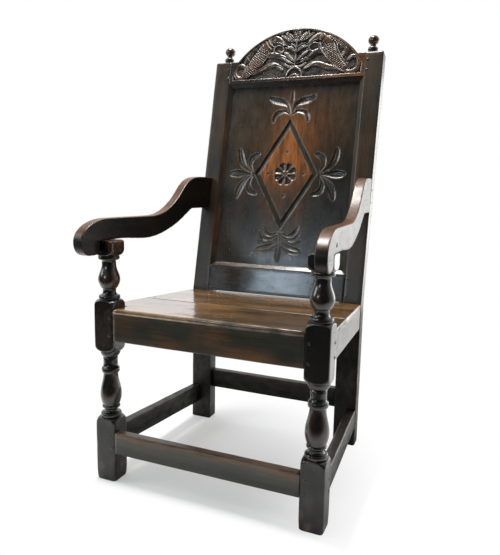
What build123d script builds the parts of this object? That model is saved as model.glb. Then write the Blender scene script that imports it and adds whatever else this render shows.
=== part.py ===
from build123d import *
from math import cos, radians, sin, sqrt, tan
import os

# A joined oak armchair with a panelled back, in millimetres.
# +X is to the right of someone who faces the chair, -Y is its front and +Z is up.
# The origin is on the floor, at the middle of the chair's overall width and depth.
# "Setback" is a distance behind the front faces of the front posts, and "rise" is a
# distance up the raked back from its kick, which is level with the rear of the seat.

# Frame in plan and height
front_width = 585.0
rear_width = 527.0
frame_depth = 460.5
seat_front_height = 443.0
seat_rear_height = 418.0
seat_gap = 2.0
back_rake = 12.3
post_rise = 725.0
arch_rise = 91.5

# Front posts
front_post_width = 56.0
front_post_depth = 54.0
arm_height = 604.0
block_radius = 42.0
pommel_drop = 24.0
pommel_radius = 25.0
foot_block_top = 163.0
seat_block_rise = 17.0
seat_block_height = 127.0
arm_block_height = 36.0
arm_block_rounding = 9.0
foot_chamfer = 3.0

# Turned members of the front posts, as radii and heights
quirk = 2.5
ring_radius = 25.8
ring_height = 11.0
cove_radius = 16.0
cove_rim_radius = 20.0
cove_height = 12.0
bead_radius = 22.4
small_bead_height = 6.0
mid_bead_height = 14.0
vase_radius = 26.4
vase_bulge_height = 0.33
lower_neck_radius = 18.0
lower_neck_height = 27.0
upper_neck_radius = 17.2
upper_neck_height = 11.0
ovolo_height = 16.0

# Rear posts
rear_post_width = 63.0
rear_post_depth = 40.0

# Rails under the seat
rail_thickness = 24.0
front_rail_height = 68.5
side_rail_height = 58.0
side_rail_thickness = 26.0
side_rail_inset = 1.0
rear_rail_height = 60.0
rear_rail_setback = 6.0

# Stretchers
front_stretcher_bottom = 75.5
front_stretcher_height = 54.5
side_stretcher_front_bottom = 73.0
side_stretcher_rear_bottom = 55.0
side_stretcher_height = 53.0
rear_stretcher_bottom = 104.0
rear_stretcher_height = 55.5
rear_stretcher_setback = 13.0

# Seat of two boards
board_thickness = 12.0
seam_setback = 208.5
seam_gap = 0.8
board_slack = 0.3
nosing_radius = 5.0
seat_rear_lap = 18.0

# Back frame and panel
back_rail_thickness = 24.0
lower_rail_height = 91.0
crest_rail_height = 83.0
arch_half_chord = 188.0
edge_chamfer_width = 13.0
edge_chamfer_depth = 11.0
panel_setback = 12.0
panel_edge_thickness = 6.0
panel_thickness = 12.0
panel_bevel = 30.0
panel_play = 1.0
groove_width = 8.0
groove_depth = 9.0

# Carving on the crest rail and the panel
arch_rim = 7.0
crest_border = 10.0
crest_ground_depth = 4.0
notch_width = 6.0
notch_depth = 4.0
beast_body_width = 26.0
beast_tail = 166.0
beast_waist = (118.0, 44.0)
beast_neck = (80.0, 94.0)
beast_head = (62.0, 108.0)
beast_head_length = 38.0
beast_head_width = 20.0
beast_head_tilt = 35.0
beast_leg_heights = (26.0, 54.0)
beast_leg_middle = 76.0
beast_leg_length = 60.0
beast_leg_width = 13.0
tail_ring = (182.0, 26.0)
tail_ring_radius = 20.0
stem_width = 5.0
stem_height = 96.0
leaf_pair_heights = (38.0, 62.0, 84.0)
leaf_length = 30.0
leaf_width = 9.0
leaf_tilt = 26.0
flower_tilts = (-58.0, -20.0, 20.0, 58.0)
flower_leaf_length = 34.0
flower_leaf_width = 13.0
root_radius = 20.0
lozenge_half_width = 100.5
lozenge_height_share = 0.313
lozenge_band = 0.815
lozenge_depth = 2.5
rosette_radius = 33.5
lozenge_lift = 2.5
rosette_depth = 4.0
petal_count = 8
petal_length = 22.0
petal_width = 15.0
boss_radius = 6.0
boss_gap = 2.0
star_length = 11.0
star_width = 4.0
star_side_offset = 55.5
star_end_offset = 67.5
carve_depth = 2.0
bud_share = 0.145
bud_width = 20.0
large_leaf_share = 0.178
large_leaf_width = 22.0
large_leaf_angle = 54.0
small_leaf_share = 0.1125
small_leaf_width = 16.0
small_leaf_angle = 102.0
spray_gap = 3.0

# Arms, with their heights from the tops of the front posts
arm_thickness = 27.0
arm_overhang = 66.0
arm_rear_bottom = 67.0
arm_rear_top = 162.0
arm_front_top = 52.5
arm_seat_end = 70.0
arm_belly = (185.0, -6.0)
arm_underbend = (311.0, 18.5)
under_slope = 0.33
under_end_slope = 0.5
arm_under_end = 415.0
arm_hollow_start = 208.0
arm_hollow = (338.0, 98.0)
arm_knuckle = (396.0, 146.0)
hollow_slope = 0.75
knuckle_slope = 0.55
arm_knuckle_end = 485.0
scroll_crown_setback = 34.0
scroll_brow_height = 1.0
scroll_bottom = -33.0
scroll_front_radius = 30.0
scroll_rear_radius = 18.0
scroll_gap = 2.0

# Finials
finial_offset = 228.0
finial_ball_radius = 16.3
finial_ball_height = 42.0
finial_foot_radius = 13.0
finial_foot_height = 8.0
finial_ring_radius = 15.0
finial_ring_height = 11.0
finial_neck_radius = 8.5
finial_dowel_radius = 4.5
finial_dowel_length = 12.0

# Joints and their clearances
tenon_thickness = 10.0
tenon_setback = 12.0
tenon_length = 27.0
back_tenon_length = 35.0
tenon_shoulder = 8.0
crest_tenon_lift = 12.0
crest_tenon_cover = 13.5
joint_slack = 0.2
arm_tenon_height = 62.0
post_tenon_thickness = 13.0
post_tenon_depth = 36.0
post_tenon_height = 34.0
peg_radius = 4.5
peg_slack = 0.05
peg_proud = 0.8
peg_inset = 11.0
peg_edge = 13.0
back_peg_inset = 18.5
back_peg_edge = 9.5
post_peg_length = 34.0
arm_peg_length = 25.0
board_peg_radius = 4.0
board_peg_length = 30.0
board_peg_edge = 26.0

# Places that follow from the sizes above
half_front = front_width / 2
half_rear = rear_width / 2
plan_taper = (half_front - half_rear) / frame_depth
seat_fall = (seat_front_height - seat_rear_height) / frame_depth
kick_height = seat_rear_height + seat_gap
rake_sin = sin(radians(back_rake))
rake_cos = cos(radians(back_rake))
crest_rise = post_rise + arch_rise
crest_bottom_rise = post_rise - crest_rail_height
seat_block_top = seat_front_height + seat_block_rise
seat_block_bottom = seat_block_top - seat_block_height
arm_block_bottom = arm_height - arm_block_height
arm_rear_middle = arm_height + (arm_rear_bottom + arm_rear_top) / 2
arm_tenon_middle = (arm_rear_middle - kick_height) / rake_cos
arm_meeting_setback = frame_depth + arm_tenon_middle * rake_sin
arm_taper = (half_front - half_rear) / arm_meeting_setback
front_reach = (arm_overhang + arm_taper * arm_thickness) / sqrt(1 + arm_taper**2)
crest_reach = crest_rise * rake_sin + back_rail_thickness * rake_cos
finial_reach = (
    (post_rise + finial_ball_height) * rake_sin
    + rear_post_depth / 2 * rake_cos
    + finial_ball_radius
)
rear_reach = frame_depth + max(crest_reach, finial_reach)
front_y = (front_reach - rear_reach) / 2
rear_y = front_y + frame_depth
post_inner = half_front - front_post_width
post_centre_x = half_front - front_post_width / 2
post_centre_y = front_y + front_post_depth / 2
rear_inner = half_rear - rear_post_width
back_reach = rear_inner + edge_chamfer_width
back_face = Plane(
    origin=(0, rear_y, kick_height), x_dir=(1, 0, 0), z_dir=(0, -rake_cos, rake_sin)
)


def seat_z(setback):
    """Height of the seat's top at a setback."""
    return seat_front_height - seat_fall * setback


def rail_x(setback):
    """Half the width over the side rails at a setback."""
    return half_front - side_rail_inset - plan_taper * setback


def across_bar(outline, reach, mode=Mode.ADD):
    """A straight bar along X from -reach to reach, with its outline in setback and height."""
    with BuildSketch(Plane.YZ) as section:
        with BuildLine():
            Polyline(*[(front_y + setback, height) for setback, height in outline], close=True)
        make_face()
    extrude(section.sketch, amount=reach, both=True, mode=mode)


def upright_outline(setback, bottom, thickness, height):
    """The four corners of a bar's section, in setback and height."""
    return [
        (setback, bottom),
        (setback + thickness, bottom),
        (setback + thickness, bottom + height),
        (setback, bottom + height),
    ]


def side_bar(start, end, outer_inset, thickness, bottom, height, slack=0, mode=Mode.ADD):
    """A bar of the right side between two setbacks. It follows the frame's taper, and its
    bottom is a function of the setback."""
    ends = []
    for setback in (start, end):
        x = rail_x(setback) - outer_inset - thickness / 2
        centre = (x, front_y + setback, bottom(setback) + height / 2)
        with BuildSketch(Plane(origin=centre, x_dir=(1, 0, 0), z_dir=(0, -1, 0))) as section:
            Rectangle(thickness + 2 * slack, height + 2 * slack)
        ends.append(section.sketch)
    loft(ends, ruled=True, mode=mode)


def back_block(half_width, low, high, depth, thickness, mode=Mode.ADD):
    """A block of the back frame from -half_width to half_width, between two rises."""
    with BuildSketch(back_face.offset(-depth)) as section:
        with Locations((0, (low + high) / 2)):
            Rectangle(2 * half_width, high - low)
    extrude(section.sketch, amount=-thickness, mode=mode)


def drill(planes, radius, length, mode=Mode.SUBTRACT):
    """Round holes or pegs that run inwards from planes whose normals point out."""
    for plane in planes:
        with BuildSketch(plane) as section:
            Circle(radius)
        extrude(section.sketch, amount=-length, mode=mode)


def mirrored(planes):
    """The planes and their twins on the chair's left side."""
    twins = [
        Plane(
            origin=(-p.origin.X, p.origin.Y, p.origin.Z),
            z_dir=(-p.z_dir.X, p.z_dir.Y, p.z_dir.Z),
        )
        for p in planes
    ]
    return planes + twins


# Bottoms of the sloping side pieces, as functions of the setback


def side_rail_bottom(setback):
    return seat_z(setback) - board_thickness - side_rail_height


def side_stretcher_bottom(setback):
    fall = side_stretcher_front_bottom - side_stretcher_rear_bottom
    return side_stretcher_front_bottom - fall * setback / frame_depth


# Tenons, each of which is also its mortise when it is grown by joint_slack and subtracted

side_tenon_start = front_post_depth - tenon_length
side_tenon_end = frame_depth + tenon_length
front_rail_bottom = seat_z(0) - board_thickness - front_rail_height
rear_rail_bottom = (
    seat_z(frame_depth + rear_rail_setback + rail_thickness) - board_thickness - rear_rail_height
)


def front_tenon(bottom, height, slack=0, mode=Mode.ADD):
    """Tenons at both ends of a bar between the front posts."""
    outline = upright_outline(
        tenon_setback - slack,
        bottom + tenon_shoulder - slack,
        tenon_thickness + 2 * slack,
        height - 2 * tenon_shoulder + 2 * slack,
    )
    across_bar(outline, post_inner + tenon_length + slack, mode)


def rear_tenon(setback, bottom, height, slack=0, mode=Mode.ADD):
    """Tenons at both ends of a bar between the rear posts."""
    outline = upright_outline(
        frame_depth + setback + (rail_thickness - tenon_thickness) / 2 - slack,
        bottom + tenon_shoulder - slack,
        tenon_thickness + 2 * slack,
        height - 2 * tenon_shoulder + 2 * slack,
    )
    across_bar(outline, rear_inner + tenon_length + slack, mode)


def side_tenon(bottom, height, slack=0, mode=Mode.ADD):
    """The core of a side bar, which runs through it and ends in a tenon at each end."""
    side_bar(
        side_tenon_start - slack,
        side_tenon_end + slack,
        tenon_setback,
        tenon_thickness,
        lambda setback: bottom(setback) + tenon_shoulder,
        height - 2 * tenon_shoulder,
        slack,
        mode,
    )


def back_tenon(low, high, slack=0, mode=Mode.ADD):
    """Tenons at both ends of a rail of the back."""
    back_block(
        rear_inner + back_tenon_length + slack,
        low - slack,
        high + slack,
        tenon_setback - slack,
        tenon_thickness + 2 * slack,
        mode,
    )


lower_rail_tenon = (tenon_shoulder, lower_rail_height - groove_depth - tenon_shoulder)
crest_tenon = (
    crest_bottom_rise + groove_depth + crest_tenon_lift,
    post_rise - crest_tenon_cover,
)


def arm_tenon(slack=0, mode=Mode.ADD):
    """The right arm's tenon into its rear post."""
    with BuildSketch(back_face) as section:
        with Locations((half_rear - arm_thickness / 2, arm_tenon_middle)):
            Rectangle(tenon_thickness + 2 * slack, arm_tenon_height + 2 * slack)
    extrude(section.sketch, amount=-(tenon_length + slack), mode=mode)


def post_tenon(slack=0, mode=Mode.ADD):
    """The right front post's tenon into its arm."""
    x = half_front - arm_taper * front_post_depth / 2 - arm_thickness / 2
    with BuildSketch(Plane.XY.offset(arm_height)) as section:
        with Locations((x, post_centre_y)):
            Rectangle(post_tenon_thickness + 2 * slack, post_tenon_depth + 2 * slack)
    extrude(section.sketch, amount=post_tenon_height + slack, mode=mode)


# Pegs of the right side: each plane lies on the face that its peg enters, facing out


def front_peg_planes(bottom, height):
    """Two pegs in a front post, across the tenon of a front bar."""
    return [
        Plane(origin=(post_inner + peg_inset, front_y, z), z_dir=(0, -1, 0))
        for z in (bottom + peg_edge, bottom + height - peg_edge)
    ]


def rear_peg_planes(bottom, height):
    """Two pegs in the back of a rear post, across the tenon of a rear bar."""
    return [
        Plane(
            origin=(rear_inner + peg_inset, rear_y + rear_post_depth, z),
            z_dir=(0, 1, 0),
        )
        for z in (bottom + peg_edge, bottom + height - peg_edge)
    ]


def side_peg_planes(bottom, height):
    """Two pegs in the outer face of each post, across the tenons of a side bar."""
    places = (
        (half_front, front_post_depth - peg_inset),
        (half_rear, frame_depth + peg_inset),
    )
    return [
        Plane(origin=(x, front_y + setback, bottom(setback) + lift), z_dir=(1, 0, 0))
        for x, setback in places
        for lift in (peg_edge, height - peg_edge)
    ]


def back_peg_planes(low, high):
    """Two pegs through a rear post, across the tenon of a rail of the back."""
    return [
        Plane(
            origin=back_face.from_local_coords((rear_inner + back_peg_inset, rise, 0)),
            z_dir=back_face.z_dir,
        )
        for rise in (low + back_peg_edge, high - back_peg_edge)
    ]


front_rail_pegs = front_peg_planes(front_rail_bottom, front_rail_height)
rear_rail_pegs = rear_peg_planes(rear_rail_bottom, rear_rail_height)
side_rail_pegs = side_peg_planes(side_rail_bottom, side_rail_height)
front_stretcher_pegs = front_peg_planes(front_stretcher_bottom, front_stretcher_height)
rear_stretcher_pegs = rear_peg_planes(rear_stretcher_bottom, rear_stretcher_height)
side_stretcher_pegs = side_peg_planes(side_stretcher_bottom, side_stretcher_height)
crest_pegs = back_peg_planes(*crest_tenon)
lower_back_pegs = back_peg_planes(*lower_rail_tenon)
arm_rear_pegs = [
    Plane(
        origin=back_face.from_local_coords((half_rear, arm_tenon_middle + lift, -peg_inset)),
        z_dir=(1, 0, 0),
    )
    for lift in (arm_tenon_height / 2 - peg_edge, peg_edge - arm_tenon_height / 2)
]
arm_front_pegs = [
    Plane(
        origin=(
            half_front - arm_taper * front_post_depth / 2,
            post_centre_y,
            arm_height + post_tenon_height / 2,
        ),
        z_dir=(1, arm_taper, 0),
    )
]
board_pegs = [
    Plane(
        origin=(
            rail_x(setback) - side_rail_thickness / 2,
            front_y + setback,
            seat_z(setback),
        ),
        z_dir=(0, seat_fall, 1),
    )
    for setback in (
        front_post_depth + board_peg_edge,
        seam_setback - board_peg_edge,
        seam_setback + board_peg_edge,
        frame_depth - board_peg_edge,
    )
]
finial_seat = Plane(
    origin=back_face.from_local_coords((finial_offset, post_rise, -rear_post_depth / 2)),
    x_dir=(1, 0, 0),
    z_dir=(0, rake_sin, rake_cos),
)

# Front post, turned between square blocks. Each member is drawn upwards from a point of
# the half section, in radius and height, and returns the point where it ends.

diagonal = sqrt(0.5)


def pommel(block_height, core_height, upwards):
    """The rounded end of a square block."""
    block = Vector(block_radius, block_height)
    core = Vector(pommel_radius, core_height)
    middle = Vector(
        core.X + diagonal * (block.X - core.X),
        core.Y + (1 - diagonal) * (block.Y - core.Y),
    )
    start, end = (core, block) if upwards else (block, core)
    ThreePointArc(start, middle, end)
    return end


def step(start, radius):
    """A flat edge, in or out to a radius."""
    end = Vector(radius, start.Y)
    Line(start, end)
    return end


def bulge(start, radius, height):
    """A ring, a bead or, with a radius smaller than the start's, a cove."""
    end = start + Vector(0, height)
    ThreePointArc(start, (radius, start.Y + height / 2), end)
    return end


def vase(start, neck_radius, top):
    """A bulb that narrows to a neck."""
    rise = top - start.Y
    end = Vector(neck_radius, top)
    bulb = Vector(vase_radius, start.Y + vase_bulge_height * rise)
    Spline(start, bulb, end, tangents=((1, 1), (0, 1), (0, 1)), tangent_scalars=(1, 1, 1))
    return end


def front_post_outline():
    """Half section of the post: wider than its square blocks, and turned between them."""
    ring_rim = ring_radius - quirk
    bead_rim = bead_radius - quirk
    with BuildLine() as outline:
        Line((0, 0), (block_radius, 0))
        Line((block_radius, 0), (block_radius, foot_block_top - pommel_drop))
        point = pommel(foot_block_top - pommel_drop, foot_block_top, upwards=False)
        point = bulge(step(point, ring_rim), ring_radius, ring_height)
        point = bulge(step(point, cove_rim_radius), cove_radius, cove_height)
        point = bulge(step(point, bead_rim), bead_radius, small_bead_height)
        neck_top = seat_block_bottom - ovolo_height
        bead_bottom = neck_top - lower_neck_height - mid_bead_height
        point = vase(step(point, cove_rim_radius), lower_neck_radius, bead_bottom)
        point = bulge(step(point, bead_rim), bead_radius, mid_bead_height)
        point = step(point, lower_neck_radius)
        Line(point, (lower_neck_radius, neck_top))
        point = step(Vector(lower_neck_radius, neck_top), cove_radius)
        ovolo = Vector(pommel_radius, seat_block_bottom)
        middle = (
            point.X + diagonal * (ovolo.X - point.X),
            point.Y + (1 - diagonal) * ovolo_height,
        )
        ThreePointArc(point, middle, ovolo)
        point = pommel(seat_block_bottom + pommel_drop, seat_block_bottom, upwards=True)
        Line(point, (block_radius, seat_block_top - pommel_drop))
        point = pommel(seat_block_top - pommel_drop, seat_block_top, upwards=False)
        point = bulge(step(point, ring_rim), ring_radius, ring_height)
        point = bulge(step(point, cove_rim_radius), cove_radius, cove_height)
        collar_bottom = arm_block_bottom - ring_height
        neck_bottom = collar_bottom - upper_neck_height
        point = vase(point, upper_neck_radius, neck_bottom)
        Line(point, (upper_neck_radius, collar_bottom))
        point = step(Vector(upper_neck_radius, collar_bottom), ring_rim)
        point = step(bulge(point, ring_radius, ring_height), pommel_radius)
        point = pommel(arm_block_bottom + pommel_drop, arm_block_bottom, upwards=True)
        Polyline(point, (block_radius, arm_height), (0, arm_height), (0, 0))
    make_face(outline.edges())


with BuildPart() as front_post:
    axis_foot = (post_centre_x, post_centre_y, 0)
    with BuildSketch(Plane(origin=axis_foot, x_dir=(1, 0, 0), z_dir=(0, -1, 0))):
        front_post_outline()
    revolve(axis=Axis(axis_foot, (0, 0, 1)))
    with BuildSketch(Plane.XY):
        with Locations((post_centre_x, post_centre_y)):
            Rectangle(front_post_width, front_post_depth)
    extrude(amount=arm_height, mode=Mode.INTERSECT)
    inner_top = front_post.edges().group_by(Axis.Z)[-1].sort_by(Axis.X)[0]
    fillet(inner_top, radius=arm_block_rounding)
    chamfer(front_post.edges().group_by(Axis.Z)[0], length=foot_chamfer)
    post_tenon()
    front_tenon(front_rail_bottom, front_rail_height, joint_slack, Mode.SUBTRACT)
    front_tenon(front_stretcher_bottom, front_stretcher_height, joint_slack, Mode.SUBTRACT)
    side_tenon(side_rail_bottom, side_rail_height, joint_slack, Mode.SUBTRACT)
    side_tenon(side_stretcher_bottom, side_stretcher_height, joint_slack, Mode.SUBTRACT)
    drill(front_rail_pegs + front_stretcher_pegs, peg_radius, post_peg_length)
    drill(side_rail_pegs + side_stretcher_pegs, peg_radius, post_peg_length)
    drill(arm_front_pegs, peg_radius, arm_peg_length)


# Rear post, kicked back above the seat, with the panel's groove and a chamfered edge


def back_section(rise):
    """A plane across the back at a rise, with its coordinates in X and depth."""
    return Plane(
        origin=back_face.from_local_coords((0, rise, 0)),
        x_dir=(1, 0, 0),
        z_dir=(0, rake_sin, rake_cos),
    )


with BuildPart() as rear_post:
    with BuildSketch(Plane.YZ.offset(rear_inner)):
        with BuildLine():
            top_y = rear_y + post_rise * rake_sin
            top_z = kick_height + post_rise * rake_cos
            Polyline(
                (rear_y, 0),
                (rear_y, kick_height),
                (top_y, top_z),
                (top_y + rear_post_depth * rake_cos, top_z - rear_post_depth * rake_sin),
                (
                    rear_y + rear_post_depth,
                    kick_height - rear_post_depth * tan(radians(back_rake / 2)),
                ),
                (rear_y + rear_post_depth, 0),
                close=True,
            )
        make_face()
    extrude(amount=rear_post_width)
    chamfer(rear_post.edges().group_by(Axis.Z)[0], length=foot_chamfer)
    with BuildSketch(back_section(0)):
        with BuildLine():
            Polyline(
                (rear_inner, 0),
                (rear_inner + edge_chamfer_width, 0),
                (rear_inner, edge_chamfer_depth),
                close=True,
            )
        make_face()
    extrude(amount=post_rise, mode=Mode.SUBTRACT)
    back_block(
        rear_inner + groove_depth,
        lower_rail_height - groove_depth,
        crest_bottom_rise + groove_depth,
        panel_setback,
        groove_width,
        Mode.SUBTRACT,
    )
    back_tenon(*lower_rail_tenon, joint_slack, Mode.SUBTRACT)
    back_tenon(*crest_tenon, joint_slack, Mode.SUBTRACT)
    side_tenon(side_rail_bottom, side_rail_height, joint_slack, Mode.SUBTRACT)
    side_tenon(side_stretcher_bottom, side_stretcher_height, joint_slack, Mode.SUBTRACT)
    rear_tenon(rear_rail_setback, rear_rail_bottom, rear_rail_height, joint_slack, Mode.SUBTRACT)
    rear_tenon(
        rear_stretcher_setback,
        rear_stretcher_bottom,
        rear_stretcher_height,
        joint_slack,
        Mode.SUBTRACT,
    )
    arm_tenon(joint_slack, Mode.SUBTRACT)
    drill([finial_seat], finial_dowel_radius, finial_dowel_length + joint_slack)
    drill(side_rail_pegs + side_stretcher_pegs + arm_rear_pegs, peg_radius, post_peg_length)
    drill(rear_rail_pegs + rear_stretcher_pegs, peg_radius, post_peg_length)
    drill(crest_pegs + lower_back_pegs, peg_radius, rear_post_depth + peg_proud)

# Rails and stretchers

with BuildPart() as front_seat_rail:
    across_bar(
        [
            (0, front_rail_bottom),
            (rail_thickness, front_rail_bottom),
            (rail_thickness, seat_z(rail_thickness) - board_thickness),
            (0, seat_z(0) - board_thickness),
        ],
        post_inner,
    )
    front_tenon(front_rail_bottom, front_rail_height)
    drill(mirrored(front_rail_pegs), peg_radius, post_peg_length)

with BuildPart() as rear_seat_rail:
    rail_front = frame_depth + rear_rail_setback
    rail_back = rail_front + rail_thickness
    across_bar(
        [
            (rail_front, rear_rail_bottom),
            (rail_back, rear_rail_bottom),
            (rail_back, seat_z(rail_back) - board_thickness),
            (rail_front, seat_z(rail_front) - board_thickness),
        ],
        rear_inner,
    )
    rear_tenon(rear_rail_setback, rear_rail_bottom, rear_rail_height)
    drill(mirrored(rear_rail_pegs), peg_radius, post_peg_length)

with BuildPart() as side_seat_rail:
    side_bar(
        front_post_depth,
        frame_depth,
        0,
        side_rail_thickness,
        side_rail_bottom,
        side_rail_height,
    )
    side_tenon(side_rail_bottom, side_rail_height)
    drill(side_rail_pegs, peg_radius, post_peg_length)
    drill(board_pegs, board_peg_radius, board_peg_length)

with BuildPart() as front_stretcher:
    across_bar(
        upright_outline(0, front_stretcher_bottom, rail_thickness, front_stretcher_height),
        post_inner,
    )
    front_tenon(front_stretcher_bottom, front_stretcher_height)
    drill(mirrored(front_stretcher_pegs), peg_radius, post_peg_length)

with BuildPart() as rear_stretcher:
    across_bar(
        upright_outline(
            frame_depth + rear_stretcher_setback,
            rear_stretcher_bottom,
            rail_thickness,
            rear_stretcher_height,
        ),
        rear_inner,
    )
    rear_tenon(rear_stretcher_setback, rear_stretcher_bottom, rear_stretcher_height)
    drill(mirrored(rear_stretcher_pegs), peg_radius, post_peg_length)

with BuildPart() as side_stretcher:
    side_bar(
        front_post_depth,
        frame_depth,
        0,
        side_rail_thickness,
        side_stretcher_bottom,
        side_stretcher_height,
    )
    side_tenon(side_stretcher_bottom, side_stretcher_height)
    drill(side_stretcher_pegs, peg_radius, post_peg_length)

# Rails of the back. Their front shoulders run over the chamfers of the posts.


def scribe_ends(low, high):
    """Cuts both ends of a back rail to fit the chamfered posts, between two rises."""
    for side in (1, -1):
        with BuildSketch(back_section(low)) as waste:
            with BuildLine():
                Polyline(
                    (side * back_reach, 0),
                    (side * rear_inner, edge_chamfer_depth),
                    (side * rear_inner, rear_post_depth),
                    (side * back_reach, rear_post_depth),
                    close=True,
                )
            make_face()
        extrude(waste.sketch, amount=high - low, mode=Mode.SUBTRACT)


def bevel_edge(edge_rise, face_rise):
    """Chamfers a back rail's front edge beside the panel, as the posts are chamfered."""
    corners = [(edge_rise, 0), (face_rise, 0), (edge_rise, edge_chamfer_depth)]
    points = [back_face.from_local_coords((0, rise, -depth)) for rise, depth in corners]
    with BuildSketch(Plane.YZ) as waste:
        with BuildLine():
            Polyline(*[(point.Y, point.Z) for point in points], close=True)
        make_face()
    extrude(waste.sketch, amount=back_reach, both=True, mode=Mode.SUBTRACT)


with BuildPart() as lower_back_rail:
    back_block(back_reach, 0, lower_rail_height, 0, back_rail_thickness)
    split(bisect_by=Plane.XY.offset(kick_height), keep=Keep.TOP)
    scribe_ends(0, lower_rail_height)
    bevel_edge(lower_rail_height, lower_rail_height - edge_chamfer_width)
    back_block(
        back_reach,
        lower_rail_height - groove_depth,
        lower_rail_height,
        panel_setback,
        groove_width,
        Mode.SUBTRACT,
    )
    back_tenon(*lower_rail_tenon)
    drill(mirrored(lower_back_pegs), peg_radius, rear_post_depth)

arch_radius = (arch_half_chord**2 + arch_rise**2) / (2 * arch_rise)
arch_centre_rise = crest_rise - arch_radius
crest_ground_bottom = crest_bottom_rise + edge_chamfer_width + crest_border


def arch_outline(half_width, bottom, shoulder, radius):
    """A straight-sided board with square shoulders and an arched top."""
    springing = sqrt(radius**2 - (shoulder - arch_centre_rise) ** 2)
    with BuildLine() as outline:
        Polyline(
            (-springing, shoulder),
            (-half_width, shoulder),
            (-half_width, bottom),
            (half_width, bottom),
            (half_width, shoulder),
            (springing, shoulder),
        )
        ThreePointArc(
            (springing, shoulder), (0, arch_centre_rise + radius), (-springing, shoulder)
        )
    make_face(outline.edges())


def draw_beast(side):
    """One of the crest's two beasts: a bowed body with its head, ringed tail and legs."""
    with BuildLine() as spine:
        ThreePointArc(
            (side * beast_tail, crest_ground_bottom + beast_body_width / 2),
            (side * beast_waist[0], crest_ground_bottom + beast_waist[1]),
            (side * beast_neck[0], crest_ground_bottom + beast_neck[1]),
        )
    trace(spine.edges(), line_width=beast_body_width)
    with Locations((side * beast_head[0], crest_ground_bottom + beast_head[1])):
        Ellipse(beast_head_length / 2, beast_head_width / 2, rotation=side * beast_head_tilt)
    with Locations((side * tail_ring[0], crest_ground_bottom + tail_ring[1])):
        Circle(tail_ring_radius)
    for height in beast_leg_heights:
        with Locations((side * beast_leg_middle, crest_ground_bottom + height)):
            Ellipse(beast_leg_length / 2, beast_leg_width / 2)


def draw_plant():
    """The crest's plant: a stem on an arched root, with leaf pairs and a flower."""
    with Locations((0, crest_ground_bottom + stem_height / 2)):
        Rectangle(stem_width, stem_height)
    for height in leaf_pair_heights:
        for side in (1, -1):
            with Locations((side * leaf_length / 2, crest_ground_bottom + height)):
                Ellipse(leaf_length / 2, leaf_width / 2, rotation=side * leaf_tilt)
    for tilt in flower_tilts:
        with Locations(Location((0, crest_ground_bottom + stem_height, 0), (0, 0, tilt))):
            with Locations((0, flower_leaf_length / 2)):
                Ellipse(flower_leaf_width / 2, flower_leaf_length / 2)
    with Locations((0, crest_ground_bottom)):
        Circle(root_radius)


with BuildPart() as crest_rail:
    with BuildSketch(back_face):
        arch_outline(back_reach, crest_bottom_rise, post_rise, arch_radius)
    extrude(amount=-back_rail_thickness)
    scribe_ends(crest_bottom_rise, post_rise)
    bevel_edge(crest_bottom_rise, crest_bottom_rise + edge_chamfer_width)
    back_block(
        back_reach,
        crest_bottom_rise,
        crest_bottom_rise + groove_depth,
        panel_setback,
        groove_width,
        Mode.SUBTRACT,
    )
    with BuildSketch(back_face):
        arch_outline(
            back_reach - arch_rim,
            crest_ground_bottom,
            post_rise - arch_rim,
            arch_radius - arch_rim,
        )
    extrude(amount=-crest_ground_depth, mode=Mode.SUBTRACT)
    with BuildSketch(back_face.offset(-crest_ground_depth)):
        draw_plant()
        for side in (1, -1):
            draw_beast(side)
    extrude(amount=crest_ground_depth)
    with BuildSketch(back_face):
        with BuildLine():
            Polyline(
                (-notch_width / 2, crest_rise),
                (0, crest_rise - notch_depth),
                (notch_width / 2, crest_rise),
                close=True,
            )
        make_face()
    extrude(amount=-back_rail_thickness, mode=Mode.SUBTRACT)
    back_tenon(*crest_tenon)
    drill(mirrored(crest_pegs), peg_radius, rear_post_depth)

# Panel of the back, loose in its grooves, with a carved face and a bevelled rear

panel_bottom = lower_rail_height - groove_depth + panel_play
panel_top = crest_bottom_rise + groove_depth - panel_play
panel_half_width = rear_inner + groove_depth - panel_play
panel_face = back_face.offset(-panel_setback)
opening_height = crest_bottom_rise - lower_rail_height
lozenge_rise = lower_rail_height + opening_height / 2 + lozenge_lift
lozenge_half_height = lozenge_height_share * opening_height


def diamond(width, height, mode=Mode.ADD):
    """A four-sided figure with its corners on the axes."""
    Polygon((width / 2, 0), (0, height / 2), (-width / 2, 0), (0, -height / 2), mode=mode)


def draw_spray():
    """A bud between two pairs of leaves, all from one point, with the bud along X."""
    leaves = [(0, bud_share, bud_width)]
    for side in (1, -1):
        leaves.append((side * large_leaf_angle, large_leaf_share, large_leaf_width))
        leaves.append((side * small_leaf_angle, small_leaf_share, small_leaf_width))
    for angle, share, width in leaves:
        length = share * opening_height
        with Locations(Location((0, 0, 0), (0, 0, angle))):
            with Locations((length / 2, 0)):
                Ellipse(length / 2, width / 2)


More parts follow.
